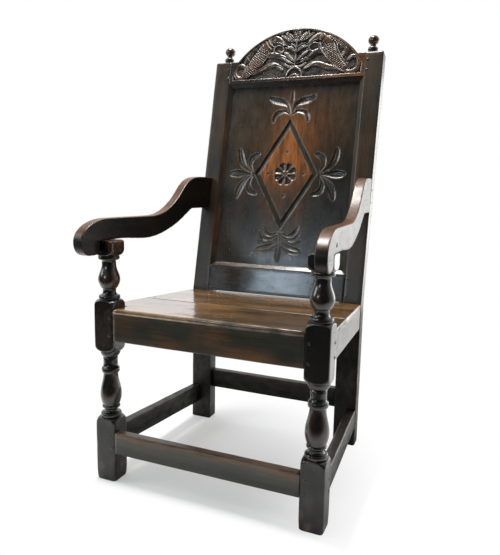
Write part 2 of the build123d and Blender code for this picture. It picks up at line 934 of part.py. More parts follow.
with BuildPart() as back_panel:
    back_block(
        panel_half_width,
        panel_bottom,
        panel_top,
        panel_setback,
        panel_edge_thickness,
    )
    for depth, inset in ((panel_edge_thickness, 0), (panel_thickness, panel_bevel)):
        with BuildSketch(panel_face.offset(-depth)):
            with Locations((0, (panel_bottom + panel_top) / 2)):
                Rectangle(2 * (panel_half_width - inset), panel_top - panel_bottom - 2 * inset)
    loft()
    with BuildSketch(panel_face):
        with Locations((0, lozenge_rise)):
            diamond(2 * lozenge_half_width, 2 * lozenge_half_height)
            diamond(
                2 * lozenge_half_width * lozenge_band,
                2 * lozenge_half_height * lozenge_band,
                Mode.SUBTRACT,
            )
    extrude(amount=-lozenge_depth, mode=Mode.SUBTRACT)
    with BuildSketch(panel_face):
        with Locations((0, lozenge_rise)):
            Circle(rosette_radius)
            with PolarLocations(rosette_radius - petal_length / 2 - boss_gap, petal_count):
                Ellipse(petal_length / 2, petal_width / 2, mode=Mode.SUBTRACT)
            Circle(boss_radius, mode=Mode.SUBTRACT)
    extrude(amount=-rosette_depth, mode=Mode.SUBTRACT)
    with BuildSketch(panel_face):
        with Locations(
            (0, lozenge_rise + star_end_offset),
            (0, lozenge_rise - star_end_offset),
            (star_side_offset, lozenge_rise),
            (-star_side_offset, lozenge_rise),
        ):
            diamond(2 * star_length, star_width)
            diamond(star_width, 2 * star_length)
        for turn, distance in (
            (0, lozenge_half_width),
            (90, lozenge_half_height),
            (180, lozenge_half_width),
            (270, lozenge_half_height),
        ):
            with Locations(Location((0, lozenge_rise, 0), (0, 0, turn))):
                with Locations((distance + spray_gap, 0)):
                    draw_spray()
    extrude(amount=-carve_depth, mode=Mode.SUBTRACT)

# Arm, a shaped board that narrows the chair towards the back, with a scroll at the front

arm_side = Plane(
    origin=(half_front, front_y, arm_height), x_dir=(-arm_taper, 1, 0), z_dir=(1, arm_taper, 0)
)

with BuildPart() as arm:
    with BuildSketch(arm_side):
        with BuildLine():
            scroll_width = scroll_crown_setback + arm_overhang
            Line((-scroll_gap, 0), (arm_seat_end, 0))
            Spline(
                (arm_seat_end, 0),
                arm_belly,
                arm_underbend,
                (arm_under_end, arm_rear_bottom),
                tangents=((1, 0), (1, 0), (1, under_slope), (1, under_end_slope)),
            )
            Polyline(
                (arm_under_end, arm_rear_bottom),
                (rear_reach, arm_rear_bottom),
                (rear_reach, arm_rear_top),
                (arm_knuckle_end, arm_rear_top),
            )
            Spline(
                (arm_knuckle_end, arm_rear_top),
                arm_knuckle,
                arm_hollow,
                (arm_hollow_start, arm_front_top),
                tangents=((-1, 0), (-1, -knuckle_slope), (-1, -hollow_slope), (-1, 0)),
            )
            Line((arm_hollow_start, arm_front_top), (scroll_crown_setback, arm_front_top))
            EllipticalCenterArc(
                (scroll_crown_setback, scroll_brow_height),
                scroll_width,
                arm_front_top - scroll_brow_height,
                start_angle=90,
                arc_size=90,
            )
            FilletPolyline(
                (-arm_overhang, scroll_brow_height),
                (-arm_overhang, scroll_bottom),
                (-scroll_gap, scroll_bottom),
                (-scroll_gap, 0),
                radius=(scroll_front_radius, scroll_rear_radius),
            )
        make_face()
    extrude(amount=-arm_thickness)
    split(bisect_by=back_face, keep=Keep.TOP)
    arm_tenon()
    post_tenon(joint_slack, Mode.SUBTRACT)
    drill(arm_rear_pegs, peg_radius, post_peg_length)
    drill(arm_front_pegs, peg_radius, arm_peg_length)

# Seat boards, with a rounded front edge, cut round the posts


def seat_board(corners):
    """A board of the sloping seat, from its right half's corners in X and setback."""
    first = corners[0][1]
    last = corners[-1][1]
    across_bar(
        [
            (first, seat_z(first) - board_thickness),
            (last, seat_z(last) - board_thickness),
            (last, seat_z(last)),
            (first, seat_z(first)),
        ],
        half_front,
    )
    right = [(x, front_y + setback) for x, setback in corners]
    left = [(-x, y) for x, y in reversed(right)]
    with BuildSketch(Plane.XY) as plan:
        with BuildLine():
            Polyline(*right, *left, close=True)
        make_face()
    extrude(plan.sketch, amount=arm_height, mode=Mode.INTERSECT)


with BuildPart() as seat_board_front:
    notch_back = front_post_depth + board_slack
    front_seam = seam_setback - seam_gap / 2
    seat_board(
        [
            (post_inner - board_slack, 0),
            (post_inner - board_slack, notch_back),
            (rail_x(notch_back), notch_back),
            (rail_x(front_seam), front_seam),
        ]
    )
    front_edge = seat_board_front.edges().group_by(Axis.Y)[0].sort_by(Axis.Z)[-1]
    fillet(front_edge, radius=nosing_radius)
    drill(mirrored(board_pegs), board_peg_radius, board_peg_length)

with BuildPart() as seat_board_rear:
    rear_seam = seam_setback + seam_gap / 2
    post_face = frame_depth - board_slack
    rear_edge = frame_depth + rear_rail_setback + seat_rear_lap
    seat_board(
        [
            (rail_x(rear_seam), rear_seam),
            (rail_x(post_face), post_face),
            (rear_inner - board_slack, post_face),
            (rear_inner - board_slack, rear_edge),
        ]
    )
    drill(mirrored(board_pegs), board_peg_radius, board_peg_length)

# Finial, turned, with a dowel in the top of the rear post

with BuildPart() as finial:
    with BuildSketch(Plane(finial_seat.origin, x_dir=(1, 0, 0), z_dir=(0, -rake_cos, rake_sin))):
        with BuildLine():
            neck_meeting = finial_ball_height - sqrt(
                finial_ball_radius**2 - finial_neck_radius**2
            )
            ball_side = (finial_ball_radius, finial_ball_height)
            ball_top = (0, finial_ball_height + finial_ball_radius)
            Polyline(
                (0, -finial_dowel_length),
                (finial_dowel_radius - peg_slack, -finial_dowel_length),
                (finial_dowel_radius - peg_slack, 0),
                (finial_foot_radius, 0),
                (finial_foot_radius, finial_foot_height),
            )
            point = bulge(
                Vector(finial_foot_radius, finial_foot_height),
                finial_ring_radius,
                finial_ring_height,
            )
            point = step(point, finial_neck_radius)
            Line(point, (finial_neck_radius, neck_meeting))
            ThreePointArc((finial_neck_radius, neck_meeting), ball_side, ball_top)
            Line(ball_top, (0, -finial_dowel_length))
        make_face()
    revolve(axis=Axis(finial_seat.origin, finial_seat.z_dir))

# Pegs, each a little proud of the face that it enters


def pegs(planes, length):
    """Pegs that fill their holes but for a little play."""
    proud_planes = [plane.offset(peg_proud) for plane in planes]
    drill(proud_planes, peg_radius - peg_slack, length + peg_proud, Mode.ADD)


with BuildPart() as seat_rail_pegs:
    pegs(mirrored(front_rail_pegs + side_rail_pegs + rear_rail_pegs), post_peg_length)

with BuildPart() as stretcher_pegs:
    pegs(
        mirrored(front_stretcher_pegs + side_stretcher_pegs + rear_stretcher_pegs),
        post_peg_length,
    )

with BuildPart() as back_frame_pegs:
    pegs(mirrored(crest_pegs + lower_back_pegs), rear_post_depth)

with BuildPart() as arm_pegs:
    pegs(mirrored(arm_rear_pegs), post_peg_length)
    pegs(mirrored(arm_front_pegs), arm_peg_length)

with BuildPart() as seat_board_pegs:
    drill(mirrored(board_pegs), board_peg_radius - peg_slack, board_peg_length, Mode.ADD)

# Labels and files: each piece of the right side has a mirrored twin on the left

os.makedirs("parts", exist_ok=True)

for name, piece in (
    ("front_seat_rail", front_seat_rail),
    ("rear_seat_rail", rear_seat_rail),
    ("front_stretcher", front_stretcher),
    ("rear_stretcher", rear_stretcher),
    ("lower_back_rail", lower_back_rail),
    ("crest_rail", crest_rail),
    ("back_panel", back_panel),
    ("seat_board_front", seat_board_front),
    ("seat_board_rear", seat_board_rear),
    ("seat_rail_pegs", seat_rail_pegs),
    ("stretcher_pegs", stretcher_pegs),
    ("back_frame_pegs", back_frame_pegs),
    ("arm_pegs", arm_pegs),
    ("seat_board_pegs", seat_board_pegs),
):
    piece.part.label = name
    export_step(piece.part, f"parts/{name}.step")

for name, piece in (
    ("front_post", front_post),
    ("rear_post", rear_post),
    ("side_seat_rail", side_seat_rail),
    ("side_stretcher", side_stretcher),
    ("arm", arm),
    ("finial", finial),
):
    with BuildPart() as twin:
        mirror(piece.part, about=Plane.YZ)
    piece.part.label = f"{name}_right"
    twin.part.label = f"{name}_left"
    export_step(piece.part, f"parts/{name}_right.step")
    export_step(twin.part, f"parts/{name}_left.step")
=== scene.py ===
import math

import bmesh
import bpy
import numpy as np
from mathutils import Matrix, Vector

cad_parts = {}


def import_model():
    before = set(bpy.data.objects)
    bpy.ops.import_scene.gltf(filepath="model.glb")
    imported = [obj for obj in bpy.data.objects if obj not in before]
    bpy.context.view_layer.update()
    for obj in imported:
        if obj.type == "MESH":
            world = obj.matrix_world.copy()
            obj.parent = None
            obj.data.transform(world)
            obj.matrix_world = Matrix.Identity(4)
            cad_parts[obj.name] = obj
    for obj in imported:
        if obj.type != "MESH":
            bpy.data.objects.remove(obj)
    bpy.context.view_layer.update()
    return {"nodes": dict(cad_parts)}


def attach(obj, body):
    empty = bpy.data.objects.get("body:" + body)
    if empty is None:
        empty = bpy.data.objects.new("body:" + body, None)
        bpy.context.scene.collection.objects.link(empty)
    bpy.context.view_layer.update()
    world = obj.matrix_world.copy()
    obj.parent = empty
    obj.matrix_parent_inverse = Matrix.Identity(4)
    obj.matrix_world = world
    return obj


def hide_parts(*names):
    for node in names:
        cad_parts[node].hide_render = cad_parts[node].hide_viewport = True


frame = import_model()

# A joined oak armchair. Lengths below are millimetres in the CAD frame; make() turns them
# into metres. "Setback" is the distance behind the front posts' faces and "rise" the
# distance up the raked back from its kick.

FRONT_Y, REAR_Y, KICK_Z = -296.17, 164.33, 420.0
SEAT_Z, HALF_WIDTH, POST_TOP = 443.0, 291.5, 725.0
RAKE = math.radians(12.3)
SIN, COS = math.sin(RAKE), math.cos(RAKE)
FRAME_DEPTH = 460.5
TAPER, FALL = 29.0 / FRAME_DEPTH, 25.0 / FRAME_DEPTH
POST_X, POST_Y = 264.5, FRONT_Y + 27.0
REAR_INNER, REAR_OUTER, REAR_DEPTH = 200.5, 263.5, 40.0
CHAMFER = (13.0, 11.0)
SIDES = ((1, "right"), (-1, "left"))


def seat_z(setback):
    return SEAT_Z - FALL * setback


def rail_x(setback):
    return HALF_WIDTH - TAPER * setback


def stack(x, y, z):
    return np.stack(np.broadcast_arrays(x, y, z), axis=-1)


def back(x, rise, depth):
    """Points on the raked back, from X, rise and depth behind the posts' faces."""
    return stack(x, REAR_Y + rise * SIN + depth * COS, KICK_Z + rise * COS - depth * SIN)


def rise_of(co):
    return (co[:, 1] - REAR_Y) * SIN + (co[:, 2] - KICK_Z) * COS


# ---- noise and meshes


def lattice(cell, seed):
    n = cell[..., 0] * 374761393 + cell[..., 1] * 668265263 + cell[..., 2] * 987643211
    n = (n + seed * 1442695041) & 0xFFFFFFFF
    n = ((n ^ (n >> 15)) * 2246822519) & 0xFFFFFFFF
    n = ((n ^ (n >> 13)) * 3266489917) & 0xFFFFFFFF
    return ((n ^ (n >> 16)) & 0xFFFF) / 32767.5 - 1.0


def value_noise(p, seed):
    cell = np.floor(p).astype(np.int64)
    f = p - cell
    f = f * f * (3 - 2 * f)
    total = 0.0
    for corner in np.ndindex(2, 2, 2):
        i, j, k = ((f if c else 1 - f)[..., n] for n, c in enumerate(corner))
        total = total + i * j * k * lattice(cell + np.array(corner), seed)
    return total


def noise(points, size, seed, octaves=2):
    """Smooth noise from -1 to 1 at points, with features of a size (or one per axis)."""
    p = np.asarray(points, dtype=float) / np.asarray(size, dtype=float)
    total, weight, amount = 0.0, 0.0, 1.0
    for octave in range(octaves):
        total = total + amount * value_noise(p * 2**octave + 17.3 * seed, seed + octave)
        weight += amount
        amount *= 0.5
    return total / weight


def half_noise(*settings):
    """Smooth noise from 0 to 1."""
    return 0.5 + 0.5 * noise(*settings)


def smooth(low, high, x):
    t = np.clip((np.asarray(x, dtype=float) - low) / (high - low), 0.0, 1.0)
    return t * t * (3 - 2 * t)


def bell(*shares):
    """A hump round the place where every share of its width is 0."""
    return np.exp(-sum(share**2 for share in shares))


def read(items, name):
    """A vector of every item of a mesh."""
    values = np.empty(len(items) * 3)
    items.foreach_get(name, values)
    return values.reshape(-1, 3)


def curvature(mesh, passes):
    """Each vertex in mm and its mean curvature in 1/mm, positive where it bulges."""
    co = read(mesh.vertices, "co") * 1000
    normal = read(mesh.vertex_normals, "vector")
    edges = np.empty(len(mesh.edges) * 2, dtype=np.int64)
    mesh.edges.foreach_get("vertices", edges)
    a, b = edges.reshape(-1, 2).T
    step = co[b] - co[a]
    length = np.maximum((step**2).sum(1), 1e-6)
    total, links = np.zeros((2, len(co)))
    for start, sign in ((a, -2), (b, 2)):
        np.add.at(total, start, sign * (step * normal[start]).sum(1) / length)
        np.add.at(links, start, 1)
    links = np.maximum(links, 1)
    value = total / links
    for _ in range(passes):
        spread = np.zeros(len(co))
        np.add.at(spread, a, value[b])
        np.add.at(spread, b, value[a])
        value = 0.5 * value + 0.5 * spread / links
    return co, value


class Build:
    """Gathers the shells of one piece, which stands for the CAD node of its name."""

    def __init__(self):
        self.points, self.faces, self.count = [], [], 0

    def add(self, points, faces):
        self.points.append(np.asarray(points, dtype=float).reshape(-1, 3))
        self.faces += [tuple(int(i) + self.count for i in face) for face in faces]
        self.count += len(self.points[-1])

    def sweep(self, rings):
        """A skin over rings of points, with a cap on each end."""
        rings = np.asarray(rings, dtype=float)
        index = np.arange(rings.shape[0] * rings.shape[1]).reshape(rings.shape[:2])
        turned = np.roll(index, -1, axis=1)
        quads = np.stack([index[:-1], turned[:-1], turned[1:], index[1:]], axis=-1)
        self.add(rings, [*quads.reshape(-1, 4).tolist(), index[0][::-1], index[-1]])

    def tenon(self, limits, place, ends):
        """A core between two ends, where place(end, a, b) gives the points in space."""
        ring = rounded(rectangle(*limits)[None], 0.5, 2, 1)[0]
        self.sweep([place(end, ring[:, 0], ring[:, 1]) for end in ends])

    def make(self, name, material, fields=None, wear_gain=2.2):
        mesh = bpy.data.meshes.new(name)
        mesh.from_pydata((np.concatenate(self.points) / 1000).tolist(), [], self.faces)
        mesh.update()
        finish(name, mesh, material, fields, wear_gain)


def finish(name, mesh, material, fields, wear_gain, passes=1):
    """Turns a mesh into a piece of the chair with its wear, dirt and warmth.

    They come from the surface's own bends, and fields(co) adds to them, painted highlights and
    painted shade included."""
    work = bmesh.new()
    work.from_mesh(mesh)
    bmesh.ops.recalc_face_normals(work, faces=work.faces)
    work.to_mesh(mesh)
    work.free()
    mesh.update()
    mesh.polygons.foreach_set("use_smooth", [True] * len(mesh.polygons))
    co, bend = curvature(mesh, passes)
    extra = fields(co) if fields else {}
    edges = np.clip(bend * wear_gain - 0.12, 0, 1) * (0.75 + 0.45 * noise(co, 34, 5))
    hollows = np.clip(-bend * wear_gain - 0.12, 0, 1)
    for key, values in (("wear", edges), ("dirt", hollows), ("warm", 0 * bend)):
        values = np.clip(values + extra.get(key, 0), 0, 1).astype(np.float32)
        mesh.attributes.new(key, "FLOAT", "POINT").data.foreach_set("value", values)
    piece = bpy.data.objects.new(name, mesh)
    bpy.context.scene.collection.objects.link(piece)
    mesh.materials.append(material)
    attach(piece, "root")
    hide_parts(name)


def rounded(corners, radii, arcs=4, flats=4):
    """Rings of points round sections: corners (rings, K, 2) rounded by radii."""
    corners = np.asarray(corners, dtype=float)
    count = corners.shape[1]
    steps = [np.roll(corners, shift, axis=1) - corners for shift in (1, -1)]
    lengths = [np.linalg.norm(step, axis=-1) for step in steps]
    r = np.minimum(radii, 0.45 * np.minimum(*lengths))[..., None]
    start, end = (corners + step / size[..., None] * r for step, size in zip(steps, lengths))
    out = []
    for k in range(count):
        for t in np.linspace(0, 1, arcs + 1):
            bow = (1 - t) ** 2 * start[:, k] + 2 * t * (1 - t) * corners[:, k]
            out.append(bow + t * t * end[:, k])
        for t in np.arange(1, flats + 1) / (flats + 1):
            out.append((1 - t) * end[:, k] + t * start[:, (k + 1) % count])
    return np.stack(out, axis=1)


def rectangle(a0, a1, b0, b1):
    return np.array([[a0, b0], [a1, b0], [a1, b1], [a0, b1]], dtype=float)


def worn_radii(stations, base, seed, size=60):
    """Edge radii that vary along a bar."""
    at = stack(stations[:, None], np.arange(len(base)) * 311.0, 0.0)
    return np.asarray(base) * (1.0 + 0.55 * noise(at, size, seed))


def dented(section, centre, places, depth, size, seed):
    """Lets the faces of a bar wander inwards."""
    amount = depth * half_noise(places, size, seed)
    offset = section - centre
    reach = np.maximum(np.linalg.norm(offset, axis=-1), 1.0)
    return centre + offset * (1 - amount / reach)[..., None]


# ---- materials


class Graph:
    """The nodes of a material or of the world."""

    def __init__(self, owner, output):
        owner.use_nodes = True
        self.nodes, self.links = owner.node_tree.nodes, owner.node_tree.links
        self.nodes.clear()
        self.out = self.nodes.new("ShaderNodeOutput" + output)

    def add(self, kind, inputs=None, **settings):
        """The outputs of a new node, whose inputs are given values or outputs."""
        node = self.nodes.new("ShaderNode" + kind)
        for key, value in settings.items():
            setattr(node, key, value)
        for key, value in (inputs or {}).items():
            if isinstance(value, bpy.types.NodeSocket):
                self.links.new(value, node.inputs[key])
            else:
                node.inputs[key].default_value = value
        return node.outputs

    def between(self, value, low, high, to_low=0.0, to_high=1.0):
        inputs = {"From Min": low, "From Max": high, "To Min": to_low, "To Max": to_high}
        inputs["Value"] = value
        return self.add("MapRange", inputs, interpolation_type="SMOOTHSTEP")["Result"]

    def maths(self, kind, a, b):
        return self.add("Math", {0: a, 1: b}, operation=kind)[0]

    def mixed(self, factor, a, b):
        a, b = ((*c, 1.0) if isinstance(c, tuple) else c for c in (a, b))
        return self.add("Mix", {"Factor": factor, "A": a, "B": b}, data_type="RGBA")["Result"]

    def blend(self, factor, a, b):
        shader = self.add("MixShader", {"Fac": factor, 1: a, 2: b})["Shader"]
        self.links.new(shader, self.out.inputs["Surface"])


ORANGE = (0.17, 0.062, 0.02)
# the dark colour of grime, and of painted shade
GRIME_AND_SHADE = (0.0044, 0.0042, 0.0030)


def oak(name, grain, dark, mid, worn, warm=ORANGE, rough=0.34, coat=0.25, sizes=1.0):
    """Waxed old oak. grain is the axis that the grain follows: x, y, z or rake."""
    material = bpy.data.materials.new(name)
    graph = Graph(material, "Material")
    add, between, maths, mixed = graph.add, graph.between, graph.maths, graph.mixed
    places = add("TexCoord")["Object"]
    lean = (-RAKE if grain == "rake" else 0.0, 0.0, 0.0)

    def field(across, along, detail, distortion=0.0):
        """Noise with features of a size in mm across the grain and along it."""
        size = [across * sizes / 1000] * 3
        size[{"x": 0, "y": 1, "z": 2, "rake": 2}[grain]] = along * sizes / 1000
        inputs = {"Vector": places, "Scale": size, "Rotation": lean}
        inputs = {"Vector": add("Mapping", inputs, vector_type="TEXTURE")["Vector"]}
        inputs |= {"Scale": 1.0, "Detail": detail, "Roughness": 0.55, "Distortion": distortion}
        return add("TexNoise", inputs)["Fac"]

    def painted(layer, low, high, to_low=0.0, to_high=1.0, rub=None):
        values = add("Attribute", attribute_name=layer)["Fac"]
        return maths("MULTIPLY", values, between(rub, low, high, to_low, to_high))

    patches = between(field(70, 170, 2, 0.4), 0.34, 0.70)
    streaks = between(field(3.2, 95, 5, 0.6), 0.44, 0.72)
    pores = between(field(0.55, 14, 2), 0.56, 0.70)
    rub = field(16, 34, 4)
    # worn edges share one layer with painted highlights, and dirt shares another with painted
    # shade
    wear = painted("wear", 0.34, 0.60, rub=rub)
    dirt = painted("dirt", 0.25, 0.75, 1.0, 0.55, rub)
    glow = painted("warm", 0.28, 0.62, 0.45, 1.0, field(9, 60, 4, 0.5))
    shade = tuple(0.45 * c for c in dark)
    colour = mixed(glow, mixed(patches, dark, mid), warm)
    colour = mixed(maths("MULTIPLY", streaks, 0.55), colour, shade)
    colour = mixed(wear, colour, worn)
    colour = mixed(maths("MULTIPLY", pores, 0.6), colour, shade)
    colour = mixed(dirt, colour, GRIME_AND_SHADE)
    gloss = between(field(30, 60, 4), 0.3, 0.7, rough - 0.03, rough + 0.05)
    gloss = maths("ADD", gloss, maths("MULTIPLY", dirt, 0.25))
    height = maths("ADD", maths("MULTIPLY", streaks, -0.5), maths("MULTIPLY", pores, -0.22))
    height = maths("ADD", height, maths("MULTIPLY", rub, 0.3))
    bump = add("Bump", {"Strength": 0.35, "Distance": 0.0004, "Height": height})
    shader = add(
        "BsdfPrincipled",
        {
            "Base Color": colour,
            "Roughness": maths("SUBTRACT", gloss, maths("MULTIPLY", wear, 0.06)),
            "Coat Weight": maths("MULTIPLY", maths("SUBTRACT", 1.0, dirt), coat),
            "Coat Roughness": 0.12,
            "Specular IOR Level": maths("SUBTRACT", 0.5, maths("MULTIPLY", dirt, 0.35)),
            "Normal": bump["Normal"],
        },
    )
    graph.links.new(shader["BSDF"], graph.out.inputs["Surface"])
    return material


DARK, MID, WORN = (0.0100, 0.0104, 0.0066), (0.027, 0.0215, 0.0115), (0.15, 0.08, 0.045)
oak_x = oak("oak_rails_across", "x", DARK, MID, WORN)
oak_y = oak("oak_rails_side", "y", DARK, MID, WORN)
oak_z = oak(
    "oak_turned", "z", (0.0035, 0.0034, 0.0024), (0.009, 0.0070, 0.0046), (0.12, 0.088, 0.060),
    rough=0.23, coat=0.4,
)
oak_back = oak(
    "oak_back_posts", "rake", (0.0135, 0.0118, 0.0073), (0.041, 0.026, 0.013), (0.16, 0.07, 0.032)
)
oak_panel = oak(
    "oak_panel", "rake", (0.0120, 0.0110, 0.0064), (0.0330, 0.0220, 0.0108), (0.22, 0.18, 0.145),
    warm=(0.38, 0.125, 0.027), rough=0.27,
)
oak_lower = oak(
    "oak_lower_rail", "x", DARK, (0.030, 0.019, 0.010), (0.17, 0.13, 0.10), rough=0.23
)
# the crest's pale worn colour is also the colour of its painted highlights
oak_crest = oak(
    "oak_crest", "x", (0.0125, 0.0122, 0.0100), (0.034, 0.024, 0.0165), (0.62, 0.54, 0.48),
    warm=(0.20, 0.085, 0.036), rough=0.23,
)
oak_arm = oak(
    "oak_arms", "y", (0.0062, 0.0056, 0.0034), (0.017, 0.0112, 0.0062), (0.19, 0.09, 0.055),
    rough=0.31, coat=0.0,
)
oak_seat = oak(
    "oak_seat", "x", (0.10, 0.055, 0.023), (0.25, 0.130, 0.046), (0.42, 0.30, 0.19),
    warm=(0.42, 0.190, 0.050), rough=0.17, coat=1.0,
)
oak_front = oak(
    "oak_front_rail", "x", (0.022, 0.0240, 0.0150), (0.050, 0.0430, 0.0245), (0.19, 0.12, 0.072),
    warm=(0.24, 0.088, 0.024),
)
oak_peg = oak(
    "oak_pegs", "z", (0.012, 0.008, 0.005), (0.03, 0.016, 0.009), (0.09, 0.05, 0.03), sizes=0.3
)

# ---- rails and stretchers


def bar(name, stations, corners, place, base, seed, core, ends, material, fields, flats=4):
    """A worn bar along its stations, with tenons of section core that reach to its ends.

    place(station, a, b) gives the points in space."""
    section = np.tile(corners, (len(stations), 1, 1))
    section = rounded(section, worn_radii(stations, base, seed), flats=flats)
    rings = place(stations[:, None], section[..., 0], section[..., 1])
    section = dented(section, corners.mean(axis=0), rings, 0.35, 45, seed + 3)
    rings = place(stations[:, None], section[..., 0], section[..., 1])
    core = rounded(core[None], 0.6, flats=flats)
    tips = (ends[0], stations[0], stations[-1], ends[1])
    tips = [place(tip, core[..., 0], core[..., 1]) for tip in tips]
    build = Build()
    build.sweep(np.concatenate([*tips[:2], rings, *tips[2:]]))
    build.make(name, material, fields)


def stations_between(start, end):
    return np.linspace(start, end, round((end - start) / 7) + 1)


def across(x, setback, z):
    return stack(x, FRONT_Y + setback, z)


def stretcher_fields(top, grime_and_shade=0.0):
    def fields(co):
        z = co[:, 2]
        worn = smooth(top - 9, top - 2, z) * (0.6 + 0.4 * noise(co, 55, 41))
        upper = smooth(top - 24, top - 3, z) * half_noise(co, (80, 40, 12), 42)
        # painted shade: darker lower down, and darker still under the seat by the given amount
        dirt = (0.35 * smooth(top - 20, top - 40, z) + grime_and_shade) * (1 - 0.5 * worn)
        return {"wear": (1 - grime_and_shade) * worn, "warm": 0.8 * (1 - grime_and_shade) * upper, "dirt": dirt}

    return fields


def rail_fields(co):
    x, _, z = co.T
    blotch = smooth(0.0, 0.5, noise(co, (70, 60, 45), 78))
    low_edge = smooth(388, 368, z) * smooth(-0.5, 0.5, noise(co, (60, 60, 20), 79))
    patch = 0.75 * bell((x - 25) / 45, (z - 400) / 20) * (0.7 + 0.5 * noise(co, (22, 40, 12), 80))
    lower = 0.5 * smooth(30, 90, x) * smooth(200, 130, x) * smooth(400, 376, z)
    warm = 0.36 * blotch + 0.30 * low_edge + np.maximum(patch, lower)
    return {"warm": warm, "wear": 0.12 * low_edge}


FRONT_HALF, RAIL_DEPTH, FRONT_POST_DEPTH, TENON = 236.5, 24.0, 54.0, 27.0
# name, half length, setback, bottom, top in front and behind, edge radii, material, fields
CROSS_BARS = (
    ("front_seat_rail", FRONT_HALF, 0.0, 362.5, 431.0, 431.0 - RAIL_DEPTH * FALL,
     (2.2, 1.5, 1.0, 1.2), oak_front, rail_fields),
    ("front_stretcher", FRONT_HALF, 0.0, 75.5, 130.0, 130.0,
     (2.0, 1.5, 2.5, 4.2), oak_front, stretcher_fields(130)),
    ("rear_seat_rail", REAR_INNER, 466.5, 344.74, 405.67, 404.37,
     (1.5, 1.5, 1.5, 1.5), oak_x, rail_fields),
    ("rear_stretcher", REAR_INNER, 473.5, 104.0, 159.5, 159.5,
     (2.0, 1.5, 2.0, 3.0), oak_x, stretcher_fields(159.5, 0.7)),
)
for seed, row in enumerate(CROSS_BARS, 11):
    name, half, near, low, high, high_far, base, material, fields = row
    far = near + RAIL_DEPTH
    corners = np.array([[near, low], [far, low], [far, high_far], [near, high]])
    core = rectangle(near + 7, near + 17, low + 8, min(high, high_far) - 8)
    stations, ends = stations_between(-half, half), (-(half + TENON), half + TENON)
    bar(name, stations, corners, across, base, seed, core, ends, material, fields)


def side_bar(name, side, low, height, base, seed, fields):
    """A bar along one side, which follows the taper. low(setback) is its bottom."""

    def place(setback, inset, lift):
        return across(side * (rail_x(setback) - inset), setback, low(setback) + lift)

    section, core = rectangle(0, 26, 0, height), rectangle(12, 22, 8, height - 8)
    stations = stations_between(FRONT_POST_DEPTH, FRAME_DEPTH)
    ends = (FRONT_POST_DEPTH - TENON, FRAME_DEPTH + TENON)
    bar(name, stations, section, place, base, seed, core, ends, oak_y, fields)


for side, word in SIDES:
    side_bar(
        "side_seat_rail_" + word, side, lambda setback: seat_z(setback) - 70.0, 58.0,
        (1.8, 1.5, 1.2, 1.2), 21 + side, rail_fields,
    )
    side_bar(
        "side_stretcher_" + word, side, lambda setback: 73.0 - 18.0 * setback / FRAME_DEPTH, 53.0,
        (1.8, 1.5, 2.6, 3.8), 24 + side, stretcher_fields(118, 0.6 if side > 0 else 0.8),
    )

# ---- lower back rail


def reach_at(depth):
    """Half the length of a back rail at a depth: its front shoulders cover the chamfers."""
    return REAR_INNER + CHAMFER[0] * (1 - np.clip(np.asarray(depth) / CHAMFER[1], 0, 1))


def on_back(share, rise, depth):
    return back(share * reach_at(depth), rise, depth)


def lower_rail_fields(co):
    edge = smooth(68, 80, rise_of(co)) * half_noise(co, (40, 20, 20), 28)
    return {"wear": 0.35 * edge, "warm": 0.15 * edge}


TIP = 235.5 / REAR_INNER
bar(
    "lower_back_rail",
    np.linspace(-1, 1, 65),
    np.array([[0.0, 0.0], [78.0, 0.0], [91.0, 11.0], [91.0, 24.0], [5.3, 24.0]]),
    on_back,
    (1.0, 2.0, 1.8, 1.0, 1.0),
    27,
    np.array([[8.0, 12.0], [40.0, 12.0], [74.0, 12.0], [74.0, 22.0], [8.0, 22.0]]),
    (-TIP, TIP), oak_lower, lower_rail_fields, flats=6,
)

# ---- rear posts


def rear_post(side, word):
    seed, edge = 31 + side, (1.5, 1.3)
    foot = (0.0, 1.2, 3.0, *np.linspace(10, 408, 54))
    rows = [("low", z, max(0.0, 3.0 - z), edge) for z in foot]
    rows += [("kick", -0.5, 0.0, edge), ("kick", 0.5, 0.0, CHAMFER)]
    rows += [("high", rise, 0.0, CHAMFER) for rise in (*range(12, 722, 10), 720.0)]
    rows += [("high", POST_TOP - 1.6, 0.5, CHAMFER), ("high", POST_TOP, 1.8, CHAMFER)]
    sections = []
    for _, _, inset, (wide, deep) in rows:
        x0, x1, d1 = REAR_INNER + inset, REAR_OUTER - inset, REAR_DEPTH - inset
        sections.append([(x0, inset + deep), (x0 + wide, inset), (x1, inset), (x1, d1), (x0, d1)])
    stations = np.array([value + (0 if kind == "low" else KICK_Z) for kind, value, _, _ in rows])
    section = rounded(sections, worn_radii(stations, (1.8, 1.6, 2.4, 2.0, 1.6), seed, 80))
    places = stack(section[..., 0], section[..., 1], stations[:, None])
    middle = np.array([(REAR_INNER + REAR_OUTER) / 2, REAR_DEPTH / 2])
    section = dented(section, middle, places, 0.4, (40, 40, 70), seed + 5)
    rings = []
    for (kind, value, _, _), (x, d) in zip(rows, section.transpose(0, 2, 1)):
        if kind == "high":
            rings.append(back(side * x, value, d))
        else:
            z = value if kind == "low" else KICK_Z + value - d * math.tan(RAKE / 2)
            rings.append(stack(side * x, REAR_Y + d, z))
    build = Build()
    build.sweep(rings)

    def fields(co):
        x, _, z = np.abs(co.T)
        inner = smooth(225, 202, x) * smooth(440, 520, z)
        streak = smooth(-0.1, 0.6, noise(co, (9, 30, 190), 47))
        front = smooth(0, 1, noise(co, (25, 60, 160), 48))
        # painted shade: darker and less warm below the seat
        low = smooth(430, 380, z)
        warm = (0.75 * inner * streak + 0.3 * front) * (1 - low)
        warm *= 0.3 + 0.7 * smooth(560, 720, z)
        return {"warm": warm, "wear": 0.25 * inner * streak, "dirt": 0.85 * low}

    build.make("rear_post_" + word, oak_back, fields)


for side, word in SIDES:
    rear_post(side, word)

# ---- front posts

RADIUS_OUTSIDE, VASE_RADIUS = 42.0, 26.4
BLOCK_X, BLOCK_Y = 28.0, 27.0


